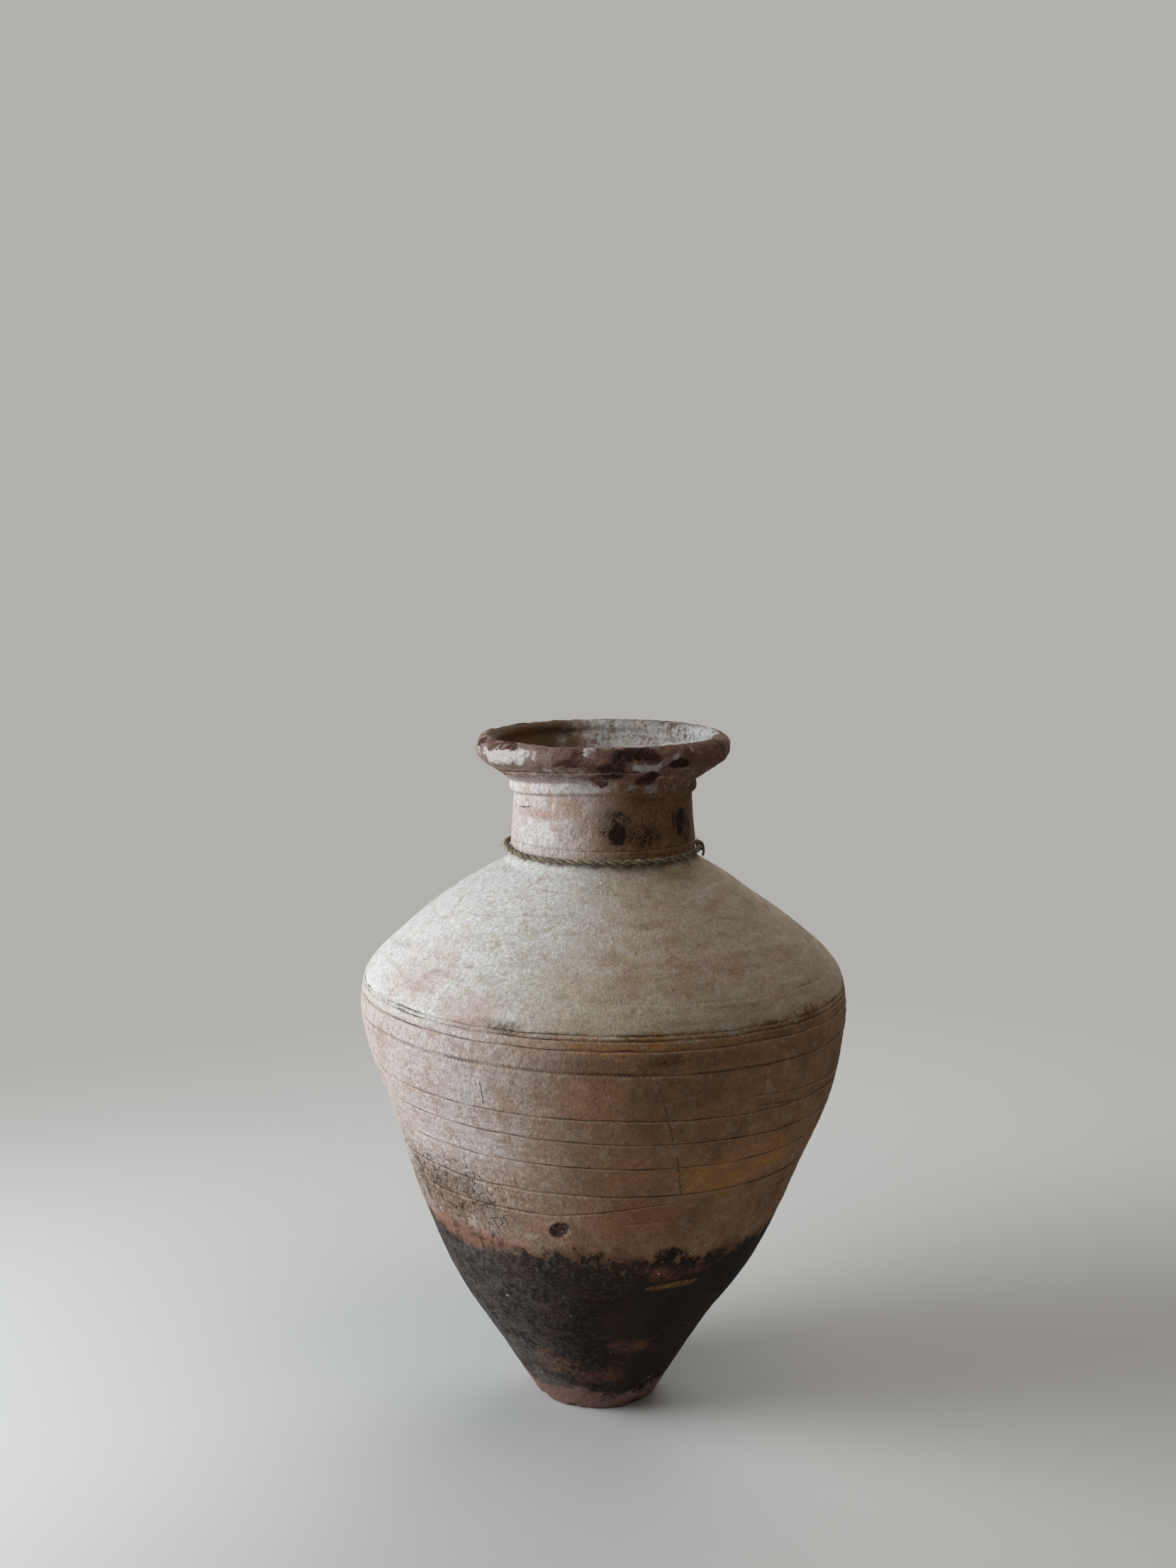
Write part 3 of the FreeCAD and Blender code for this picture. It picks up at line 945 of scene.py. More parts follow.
    def haze(self, mark: Mark, pattern: Socket, depth: float, most: float = 1.0) -> Socket:
        """Share of a mark that a pattern makes uneven without breaking it up.

        Args:
            mark: The mark.
            pattern: Noise from 0 to 1.
            depth: How uneven it gets.
            most: Largest share.

        Returns:
            The share's socket.
        """
        swing = self.times(self.minus(pattern, 0.5), 2.0 * depth)
        share = self.times(self.mark(mark), self.plus(swing, 1.0))
        return self.node("MapRange", {0: share, 4: most}).outputs[0]

    def bump(self, height: Value, depth: Value, normal: Optional[Socket] = None) -> Socket:
        """Fine relief of the surface, its depth in metres, on top of another relief if one is given."""
        under = {} if normal is None else {"Normal": normal}
        return self.node("Bump", {"Distance": depth, "Height": height, **under}).outputs[0]


class ClayGraph(NodeGraph):
    """Nodes of the clay, with the patterns that its coats share."""

    def __init__(self, name: str) -> None:
        """Start the material and make the patterns.

        Args:
            name: Name of the material.
        """
        super().__init__(name)
        self.broad = self.noise(130 * MM, 3.0, 0.5)
        self.cloud = self.noise(44 * MM, 5.0, 0.6, 0.3)
        self.mottle = self.noise(14 * MM, 5.0, 0.65, 0.5)
        self.fine = self.noise(4.5 * MM, 4.0, 0.7)
        self.grain = self.noise(1.7 * MM, 2.0, 0.6)
        heap = self.plus(self.cloud, self.mottle, self.fine)
        self.soft = self.step(heap, 1.25, 1.75)
        self.ragged = self.step(heap, 1.35, 1.65)
        self.fray = self.step(self.plus(self.mottle, self.fine), 0.78, 1.22)
        self.spatter = self.step(self.plus(self.mottle, self.fine, self.grain), 1.2, 1.8)
        self.flakes = self.step(self.noise(15 * MM, 3.0, 0.5, 0.3), 0.32, 0.68)
        self.crust = self.step(self.noise(11 * MM, 4.0, 0.6, 0.4), 0.34, 0.66)
        upright = self.noise(7 * MM, 4.0, 0.65, 0.2, self.squeezed(1.0, 0.45))
        self.tufts = self.step(self.plus(upright, self.mottle), 0.78, 1.22)


@dataclass(frozen=True)
class Crack:
    """Fine upright crack, in millimetres and degrees from +X.

    The drift is how far it turns for each millimetre upwards; dots is the size of the bits it breaks into.
    """

    angle: float
    low: float
    high: float
    drift: float = 0.0
    half_width: float = 0.8
    dots: float = 0.0


@dataclass(frozen=True)
class ClayFinish:
    """Weathered unglazed clay with its stains, soot and lime, and painted light and shade; lengths are in
    millimetres.
    """

    name: str = "weathered_clay"
    brown: Colour = paint(141, 108, 79)
    rose: Colour = paint(151, 112, 86)
    umber: Colour = paint(112, 83, 59)
    sand: Colour = paint(174, 153, 135)
    cream: Colour = paint(182, 169, 152)
    olive: Colour = paint(166, 154, 132)
    blush: Colour = paint(174, 149, 133)
    chalk: Colour = paint(203, 203, 202)
    # Pale dust colour that also stands for painted light on the lamp side.
    dust: Colour = paint(198, 190, 186)
    lime: Colour = paint(201, 197, 193)
    plum: Colour = paint(109, 81, 71)
    bare: Colour = paint(62, 32, 26)
    iron: Colour = paint(154, 101, 73)
    ochre: Colour = paint(172, 124, 68)
    stain: Colour = paint(33, 22, 16)
    # Grime colour that also carries painted shade on the neck and under the cord.
    grime: Colour = paint(90, 69, 47)
    rut: Colour = paint(66, 49, 35)
    scorch: Colour = paint(66, 39, 30)
    soot: Colour = paint(21, 15, 12)
    tar: Colour = paint(57, 44, 35)
    # Painted shade: near-black soot on the front-right.
    pitch: Colour = paint(12, 7, 5)
    sole: Colour = paint(138, 106, 94)
    ash: Colour = paint(103, 98, 95)
    dark: Colour = paint(92, 76, 60)
    beads: int = 370
    cracks: tuple[Crack, ...] = (
        Crack(-118.2, 372, 399, 0, 0.6), Crack(-128.4, 293, 331, 0, 0.6, 14), Crack(-113.5, 284, 300, 0, 0.7),
        Crack(-78.6, 280, 408, -0.07, 1.5, 8), Crack(-138, 262, 292, 0.03, 0.8, 9),
        Crack(-146, 236, 280, 0.05, 1, 10), Crack(-154, 240, 290, -0.04, 1.1, 9),
        Crack(64, 300, 352, 0.05, 0.7, 16), Crack(112, 226, 270, -0.05, 0.8, 12),
    )
    crack_end: float = 4.0
    crack_wobble: float = 5.0
    cord_mark: tuple[float, float, float, float] = (401.0, 403.0, 422.0, 424.0)
    # Grain tone with painted light and shade of the fine relief: darker in the pits, lighter on the peaks.
    grit_dark: Colour = (0.77, 0.755, 0.74)
    grit_light: Colour = (1.19, 1.19, 1.19)
    shine: float = 0.16
    dull: float = 0.95
    soot_gloss: float = 0.15
    pore_depth: float = 1.75
    wash_fill: float = 1.0
    grain_depth: float = 0.4

    def make(self) -> bpy.types.Material:
        """Build the material.

        Returns:
            The material.
        """
        graph = ClayGraph(self.name)
        crackle = self.crackle(graph)
        sooted = graph.dissolve(Mark.SOOT, graph.tufts, 0.5, 0.97)
        ruts, burr = self.drawn_lines(graph)
        dirt = graph.larger(ruts, self.crack_lines(graph))
        worn = graph.plus(graph.step(graph.mottle, 0.35, 0.6, 0.4), 0.5)
        colour = graph.coats(
            self.bare_clay(graph),
            # Dust and painted light: paler on the side that faces the window lamp.
            (graph.haze(Mark.DUST, graph.soft, 0.45, 0.76), self.dust),
            (graph.dissolve(Mark.CREAM, graph.soft, 0.9, 0.92), self.wash(graph)),
            (graph.haze(Mark.RIM, graph.soft, 0.4, 0.85), self.plum),
            # Grime and painted shade.
            (graph.haze(Mark.GRIME, graph.fray, 0.8, 0.75), self.grime),
            (graph.dissolve(Mark.LIME, graph.crust, 0.8, 0.66), self.lime),
            (graph.dissolve(Mark.BARE, graph.flakes, 0.12, 0.94), self.flaked(graph)),
            (graph.dissolve(Mark.STAIN, graph.spatter, 0.8, 0.93), self.stain),
            (graph.times(crackle, 0.8), self.stain),
            (graph.step(graph.mark(Mark.SOOT), 0.0, 0.5, 0.6), self.scorch),
            (sooted, self.burnt(graph)),
            (graph.dissolve(Mark.FOOT, graph.ragged, 0.7, 0.9), self.sole),
            (graph.haze(Mark.IRON, graph.soft, 0.8, 0.55), self.iron),
            (graph.haze(Mark.OCHRE, graph.soft, 0.7, 0.8), self.ochre),
            # Painted highlight: a paler lip under each drawn line.
            (burr, self.sand),
            (graph.times(dirt, worn), self.rut),
            (graph.specks(31 * MM, 0.045, 0.6), self.chalk),
            (graph.specks(13 * MM, 0.07, 0.7), self.stain),
            (graph.mark(Mark.INSIDE), self.hollow(graph)),
        )
        # Grain tone with painted light and shade of the fine relief, on the same grain as the bump.
        pepper = graph.plus(graph.grain, graph.noise(3.6 * MM, 3.0, 0.75))
        grit = graph.mix(graph.step(pepper, 0.7, 1.3), self.grit_dark, self.grit_light)
        dents = graph.minus(graph.fine, graph.times(graph.larger(dirt, crackle), 0.6))
        filled = graph.times(graph.mark(Mark.CREAM), self.wash_fill * MM)
        pores = graph.bump(dents, graph.minus(self.pore_depth * MM, filled))
        return graph.finish({
            "Base Color": graph.mix(1.0, colour, grit, "MULTIPLY"),
            "Roughness": graph.minus(self.dull, graph.times(sooted, self.soot_gloss)),
            "Specular IOR Level": self.shine,
            "Normal": graph.bump(graph.grain, self.grain_depth * MM, pores),
        })

    def bare_clay(self, graph: ClayGraph) -> Tint:
        """Colour of the clay itself.

        Args:
            graph: The material's nodes.

        Returns:
            The colour.
        """
        runs = graph.noise(16 * MM, 4.0, 0.6, 0.2, graph.squeezed(1.0, 0.12))
        return graph.coats(
            self.brown,
            (graph.step(graph.broad, 0.36, 0.62), self.rose),
            (graph.step(graph.cloud, 0.42, 0.7, 0.75), self.umber),
            (graph.step(graph.mottle, 0.48, 0.76, 0.58), self.sand),
            (graph.step(graph.fine, 0.5, 0.74, 0.7), self.umber),
            (graph.step(runs, 0.5, 0.78, 0.55), self.umber),
        )

    def wash(self, graph: ClayGraph) -> Tint:
        """Colour of the pale wash on the shoulder, with chalk that is partly painted light on the side that
        faces the window lamp.

        Args:
            graph: The material's nodes.

        Returns:
            The colour.
        """
        wiped = graph.noise(9 * MM, 5.0, 0.65, 0.6, graph.squeezed(0.22, 1.0))
        return graph.coats(
            self.olive,
            (graph.step(graph.broad, 0.4, 0.62), self.cream),
            (graph.step(graph.cloud, 0.42, 0.68, 0.65), self.blush),
            # Chalk and painted light on the lamp side of the shoulder.
            (graph.haze(Mark.DUST, graph.fray, 0.65, 0.84), self.chalk),
            (graph.step(wiped, 0.48, 0.72, 0.4), self.chalk),
            (graph.step(wiped, 0.5, 0.3, 0.3), self.umber),
            (graph.step(graph.mottle, 0.5, 0.78, 0.42), self.umber),
        )

    def flaked(self, graph: ClayGraph) -> Tint:
        """Colour of the clay where flakes came off the rim, darker where it is stained."""
        fresh = (graph.step(graph.cloud, 0.4, 0.62), self.plum)
        return graph.coats(self.bare, fresh, (graph.mark(Mark.STAIN), self.bare))

    def burnt(self, graph: ClayGraph) -> Tint:
        """Colour of the soot on the lower part, with painted light (paler ash) on the lamp side and painted
        shade (near-black soot) on the front-right.

        Args:
            graph: The material's nodes.

        Returns:
            The colour.
        """
        return graph.coats(
            self.soot,
            (graph.step(graph.cloud, 0.46, 0.66, 0.85), self.scorch),
            (graph.step(graph.broad, 0.5, 0.62, 0.6), self.tar),
            (graph.step(graph.mottle, 0.48, 0.66, 0.65), self.tar),
            (graph.step(graph.fine, 0.52, 0.68, 0.5), self.ash),
            # Painted light: paler ash on the lamp side of the soot.
            (graph.haze(Mark.DUST, graph.fray, 0.9, 0.75), self.ash),
            # Painted shade: near-black soot on the front-right.
            (graph.haze(Mark.CHAR, graph.fray, 0.6, 0.7), self.pitch),
            (graph.specks(11 * MM, 0.09, 0.72), self.sand),
        )

    def hollow(self, graph: ClayGraph) -> Tint:
        """Colour of the inside, with lime near the mouth and painted light on the right-hand inner wall,
        which the window lamp reaches.
        """
        damp = (graph.step(graph.cloud, 0.4, 0.65), self.umber)
        # Lime and painted light on the inner wall.
        return graph.coats(self.dark, damp, (graph.haze(Mark.LIME, graph.soft, 0.9, 0.72), self.chalk))

    def drawn_lines(self, graph: ClayGraph) -> tuple[Value, Value]:
        """Dirt in the drawn lines and in the beads of the cord mark, and the pale burr under them, which is a
        painted highlight.

        Args:
            graph: The material's nodes.

        Returns:
            Shares of dirt and of the burr's painted highlight.
        """
        groove = graph.mark(Mark.GROOVE)
        rough = graph.times(graph.minus(graph.plus(graph.fine, graph.grain), 1.0), 1.9)
        above = graph.plus(graph.mark(Mark.OFF_LINE), rough)
        near = graph.math("ABSOLUTE", above)
        lower = graph.math("ABSOLUTE", graph.plus(above, 1.6))
        cut = graph.step(groove, 0.004, 0.04)
        filled = graph.step(graph.noise(48 * MM, 3.0, 0.6), 0.4, 0.62, 0.6)
        deep = graph.times(graph.step(near, 0.95, 0.2), graph.step(groove, 0.03, 0.4))
        core = graph.times(deep, graph.plus(filled, 0.4))
        # Painted highlight on the lip under the line.
        burr = graph.times(graph.step(lower, 0.8, 0.2, 0.6), cut, graph.minus(1.0, filled))

        angle, _, height = graph.polar()
        start, full, fade, end = (level * MM for level in self.cord_mark)
        on_cord = graph.times(graph.step(height, start, full), graph.step(height, end, fade))
        slant = graph.plus(graph.times(angle, self.beads), graph.times(above, 1.5))
        gaps = graph.plus(graph.step(graph.math("SINE", slant), 0.5, -0.5, 0.5), 0.3)
        beaded = graph.times(graph.step(near, 2.2, 0.8), gaps, cut, graph.plus(filled, 0.45), on_cord)
        core = graph.times(core, graph.minus(1.0, graph.times(on_cord, 0.6)))
        return graph.larger(core, beaded), burr

    def crackle(self, graph: ClayGraph) -> Value:
        """Net of fine cracks low on one side.

        Args:
            graph: The material's nodes.

        Returns:
            Shares of crack.
        """
        wide = graph.step(graph.net(11 * MM, 9 * MM), 0.09, 0.0)
        close = graph.step(graph.net(5 * MM, 5 * MM), 0.12, 0.0, 0.6)
        close = graph.times(close, graph.step(graph.noise(26 * MM, 3.0), 0.45, 0.6))
        broken = graph.step(graph.noise(8 * MM, 3.0, 0.6), 0.36, 0.6)
        return graph.times(graph.larger(wide, close), broken, graph.step(graph.mark(Mark.CRACKLE), 0.15, 0.7))

    def crack_lines(self, graph: ClayGraph) -> Value:
        """Upright cracks.

        Args:
            graph: The material's nodes.

        Returns:
            Shares of crack.
        """
        angle, radius, height = graph.polar()
        wobble = graph.times(graph.minus(graph.mottle, 0.5), self.crack_wobble * MM)
        total: Value = 0.0
        for crack in self.cracks:
            half, low = crack.half_width * MM, crack.low * MM
            up = graph.minus(height, crack.high * MM)
            drift = graph.times(up, math.radians(crack.drift) / MM)
            turn = graph.minus(graph.minus(angle, math.radians(crack.angle)), drift)
            off = graph.math("ABSOLUTE", graph.plus(graph.times(turn, radius), wobble))
            line = graph.times(
                graph.step(off, half, 0.35 * half),
                graph.step(height, low, low + self.crack_end * MM),
                graph.step(up, 0.0, -self.crack_end * MM),
            )
            if crack.dots:
                line = graph.times(line, graph.step(graph.noise(crack.dots * MM, 2.0, 0.5), 0.46, 0.6, 0.8))
            total = graph.larger(line, total)
        return total


@dataclass(frozen=True)
class CordFinish:
    """Worn plant fibre; the grain's depth is in millimetres."""

    name: str = "worn_cord"
    light: Colour = paint(158, 146, 123)
    dark: Colour = paint(96, 85, 68)
    dull: float = 0.95
    shine: float = 0.2
    grain_depth: float = 0.4

    def make(self) -> bpy.types.Material:
        """Build the material.

        Returns:
            The material.
        """
        graph = NodeGraph(self.name)
        patchy = graph.noise(9 * MM, 4.0, 0.7)
        fibre = graph.noise(0.9 * MM, 2.0, 0.6)
        worn = (graph.step(patchy, 0.35, 0.65), self.dark)
        return graph.finish({
            "Base Color": graph.coats(self.light, worn, (graph.step(fibre, 0.4, 0.7, 0.5), self.dark)),
            "Roughness": self.dull,
            "Specular IOR Level": self.shine,
            "Normal": graph.bump(fibre, self.grain_depth * MM),
        })


@dataclass
class Piece:
    """Piece that takes the place of a node of the frame."""

    node: str
    slot: str
    BODY: ClassVar[str] = "jar"
    MADE_OF: ClassVar[str] = "clay"

    @property
    def name(self) -> str:
        """Name of the piece."""
        return f"{self.node}_{self.MADE_OF}"

    def dress(self, piece: bpy.types.Object, finish: bpy.types.Material) -> None:
        """Give the built piece its finish and put it in place of its node.

        Args:
            piece: The piece.
            finish: Its material.
        """
        piece.data.materials.append(finish)
        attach(piece, self.BODY)
        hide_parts(self.node)


@dataclass
class ClayPiece(Piece):
    """One stage of the jar that was luted to its neighbours."""

    slot: str = "clay"
    columns: int = 600
    outer_step: float = 1.3 * MM
    inner_step: float = 7.0 * MM
    sharp: float = math.radians(55.0)

    def lines(self, body: BodyLine) -> tuple[np.ndarray, np.ndarray]:
        """Outer line upwards and inner line downwards, in metres; each kind of stage draws its own."""
        raise NotImplementedError

    def half_section(self, body: BodyLine) -> HalfSection:
        """Outline of the piece.

        Args:
            body: Lines of the jar's body.

        Returns:
            The half section.
        """
        section = HalfSection()
        outer, inner = self.lines(body)
        section.add(outer, Face.OUTER, self.outer_step)
        section.add(inner, Face.INNER, self.inner_step)
        return section

    def build(self, body: BodyLine, relief: Relief, weathering: Weathering) -> bpy.types.Object:
        """Turn the piece, give it its relief and paint its marks.

        Args:
            body: Lines of the jar's body.
            relief: Relief that the pieces share.
            weathering: Marks that the pieces share.

        Returns:
            The piece.
        """
        mesh = self.half_section(body).turn(self.name, self.columns)
        place = Places(mesh)
        weathering.apply(mesh, place, relief.apply(mesh, place))
        mesh.shade_smooth()
        mesh.set_sharp_from_angle(angle=self.sharp)
        return add_object(self.name, mesh)


@dataclass
class FootSlab(ClayPiece):
    """Disc that the jar stands on."""

    node: str = "foot_slab"
    slot: str = "sooted_clay"
    columns: int = 360
    edge_radius: float = 4.0
    edge_height: float = 3.0
    edge_step: float = 2.0 * MM

    def half_section(self, body: BodyLine) -> HalfSection:
        """Outline of the disc with its worn lower edge.

        Args:
            body: Lines of the jar's body.

        Returns:
            The half section.
        """
        outer, _ = body.stretch(self.edge_height, body.FLOOR)
        foot = body.STATIONS[0][0]
        edge = Trace(0.0, 0.0).to(foot - self.edge_radius, 0.0).bend((foot, 0.0), tuple(outer[0] / MM))
        floor = Trace(outer[-1][0] / MM - self.edge_radius, body.FLOOR).to(0.0, body.FLOOR)
        section = HalfSection(closed=False)
        section.add(edge.line(), Face.OUTER, self.edge_step)
        section.add(outer, Face.OUTER, self.outer_step)
        section.add(floor.line(), Face.INNER, self.inner_step)
        return section


@dataclass
class WallRing(ClayPiece):
    """Ring of the body between two seams."""

    low: float = 0.0
    high: float = 0.0

    def lines(self, body: BodyLine) -> tuple[np.ndarray, np.ndarray]:
        """Outer line upwards and inner line downwards to the floor."""
        outer, inner = body.stretch(self.low, self.high)
        return outer, inner[inner[:, 1] > body.FLOOR * MM]


@dataclass
class NeckCollar(ClayPiece):
    """Neck with its flared root; its line is in millimetres."""

    node: str = "neck_collar"
    columns: int = 432
    inner_step: float = 3.0 * MM
    foot_radius: float = 95.0
    start_height: float = 583.2
    top_radius: float = 91.2
    top_height: float = 646.0
    bore_radius: float = 80.0
    flare_corner: float = 573.9
    top_round: tuple[float, float] = (3.0, 1.0)
    bore_end: float = 576.0
    root_corner: float = 570.0
    root_end: Station = (85.1, 566.8)
    RIM_SEAT: ClassVar[Station] = (92.8, 646.0)

    def lines(self, body: BodyLine) -> tuple[np.ndarray, np.ndarray]:
        """Lines of the collar between the shoulder's seam and the rim's seat.

        Args:
            body: Lines of the jar's body.

        Returns:
            Outer line upwards and inner line downwards, in metres.
        """
        outer_end, inner_end = body.root()
        foot, top, bore = self.foot_radius, self.top_radius, self.bore_radius
        start, corner = (self.top_height - under for under in self.top_round)
        outside = Trace(*outer_end).bend((foot, self.flare_corner), (foot, self.start_height))
        outside.to(top, start).bend((top, corner), self.RIM_SEAT)
        inside = Trace(bore, self.top_height).to(bore, self.bore_end)
        inside.bend((bore, self.root_corner), self.root_end).to(*inner_end)
        return outside.line(), inside.line()


@dataclass
class RimRing(ClayPiece):
    """Ridge, flare and rolled lip; its line is in millimetres and degrees."""

    node: str = "rim_ring"
    columns: int = 528
    outer_step: float = 0.9 * MM
    inner_step: float = 1.6 * MM
    lip_centre: Station = (117.6, 688.0)
    lip_radius: float = 12.0
    lip_turn: tuple[float, float] = (-63.0, 90.0)
    ridge: tuple[tuple[Station, Station], ...] = (
        ((95.4, 647.2), (95.8, 650.2)), ((96.3, 654.6), (95.3, 656.8)), ((94.7, 658.0), (96.6, 659.3)),
    )
    mouth: tuple[tuple[Station, Station], ...] = (
        ((109.6, 700.0), (109.6, 688.0)), ((109.6, 683.6), (106.0, 681.0)),
    )
    throat: Station = (88.1, 668.1)
    bore: tuple[Station, Station] = ((80.0, 662.2), (80.0, 652.2))
    inner_seat: Station = (80.0, 646.0)

    def lines(self, body: BodyLine) -> tuple[np.ndarray, np.ndarray]:
        """Lines of the rim, from its seat over the ridge and the lip and down the mouth.

        Args:
            body: Lines of the jar's body, which is not used.

        Returns:
            Outer line upwards and inner line downwards, in metres.
        """
        outside = Trace(*NeckCollar.RIM_SEAT)
        inside = Trace(self.lip_centre[0], self.lip_centre[1] + self.lip_radius)
        for trace, bends in ((outside, self.ridge), (inside, self.mouth)):
            for corner, end in bends:
                trace.bend(corner, end)
        outside.roll(self.lip_centre, self.lip_radius, *self.lip_turn)
        inside.to(*self.throat).bend(*self.bore).to(*self.inner_seat)
        return outside.line(), inside.line()


@dataclass(frozen=True)
class Thread:
    """Round length of fibre: points of its middle in metres, and its radius in millimetres."""

    points: Sequence[Vector]
    radius: float


def add_spline(curve: bpy.types.Curve, kind: str, points: Sequence[Vector]) -> bpy.types.Spline:
    """Add a spline to a curve.

    Args:
        curve: The curve.
        kind: Kind of spline.
        points: Its points in metres.

    Returns:
        The spline.
    """
    spline = curve.splines.new(kind)
    spline.points.add(len(points) - 1)
    for point, place in zip(spline.points, points):
        point.co = (*place, 1.0)
    return spline


def new_curve(name: str) -> bpy.types.Curve:
    """Start a curve in space.

    Args:
        name: Name of the curve.

    Returns:
        The curve.
    """
    curve = bpy.data.curves.new(name, "CURVE")
    curve.dimensions = "3D"
    return curve


def mesh_of(curve: bpy.types.Curve) -> bpy.types.Mesh:
    """Turn a curve into a mesh.

    Args:
        curve: The curve, which is removed.

    Returns:
        The mesh.
    """
    holder = bpy.data.objects.new(curve.name, curve)
    mesh = bpy.data.meshes.new_from_object(holder)
    mesh.name = curve.name
    bpy.data.objects.remove(holder)
    bpy.data.curves.remove(curve)
    return mesh


def read_route(name: str, controls: Sequence[Vector], closed: bool = False) -> list[Vector]:
    """Points of a smooth line along a route.

    Args:
        name: Name for the route's curve.
        controls: Control points in metres.
        closed: Whether the line closes on itself.

    Returns:
        Points along the line.
    """
    curve = new_curve(name)
    curve.resolution_u = ROUTE_STEPS
    spline = add_spline(curve, "NURBS", controls)
    spline.order_u = ROUTE_ORDER
    spline.use_endpoint_u = not closed
    spline.use_cyclic_u = closed
    line = mesh_of(curve)
    points = [v.co.copy() for v in line.vertices]
    bpy.data.meshes.remove(line)
    return points


def thread_mesh(name: str, threads: Iterable[Thread]) -> bpy.types.Mesh:
    """Round tubes along threads, with closed ends.

    Args:
        name: Name of the mesh.
        threads: The threads.

    Returns:
        One mesh of all threads.
    """
    curve = new_curve(name)
    curve.bevel_depth = MM
    curve.bevel_resolution = THREAD_ROUNDING
    curve.use_fill_caps = True
    for thread in threads:
        for point in add_spline(curve, "POLY", thread.points).points:
            point.radius = thread.radius
    mesh = mesh_of(curve)
    mesh.shade_smooth()
    return mesh


@dataclass(frozen=True)
class Rope:
    """Two strands of three yarns each, laid round each other, in millimetres."""

    strand_count: int = 2
    strand_offset: float = 1.45
    strand_pitch: float = 21.0
    yarn_count: int = 3
    yarn_offset: float = 0.75
    yarn_pitch: float = 12.0
    yarn_radius: float = 0.85

    def yarns(self, route: Sequence[Vector], outward: Sequence[Vector]) -> list[Thread]:
        """All yarns along a route.

        Args:
            route: Points along the rope's middle, in metres.
            outward: A direction across the rope at each point.

        Returns:
            One thread per yarn.
        """
        run = [0.0]
        for a, b in zip(route, route[1:]):
            run.append(run[-1] + (b - a).length / MM)
        threads = []
        for strand, yarn in itertools.product(range(self.strand_count), range(self.yarn_count)):
            line = []
            for i, (point, across) in enumerate(zip(route, outward)):
                ahead = route[min(i + 1, len(route) - 1)] - route[max(i - 1, 0)]
                up = ahead.normalized().cross(across)
                turn = FULL_TURN * (run[i] / self.strand_pitch + strand / self.strand_count)
                ply = FULL_TURN * (yarn / self.yarn_count - run[i] / self.yarn_pitch)
                shift = (across * math.cos(turn) + up * math.sin(turn)) * self.strand_offset
                shift += (across * math.cos(ply) + up * math.sin(ply)) * self.yarn_offset
                line.append(point + shift * MM)
            threads.append(Thread(line, self.yarn_radius))
        return threads


@dataclass
class CordPiece(Piece):
    """Piece that is laid of threads and turns round the neck."""

    slot: str = "cord"
    rope: Rope = Rope()
    BODY: ClassVar[str] = "cord"

    def threads(self) -> list[Thread]:
        """Threads that the piece is laid of; each kind of piece lays its own."""
        raise NotImplementedError

    def build(self) -> bpy.types.Object:
        """Lay the threads, and return the piece."""
        return add_object(self.name, thread_mesh(self.name, self.threads()))


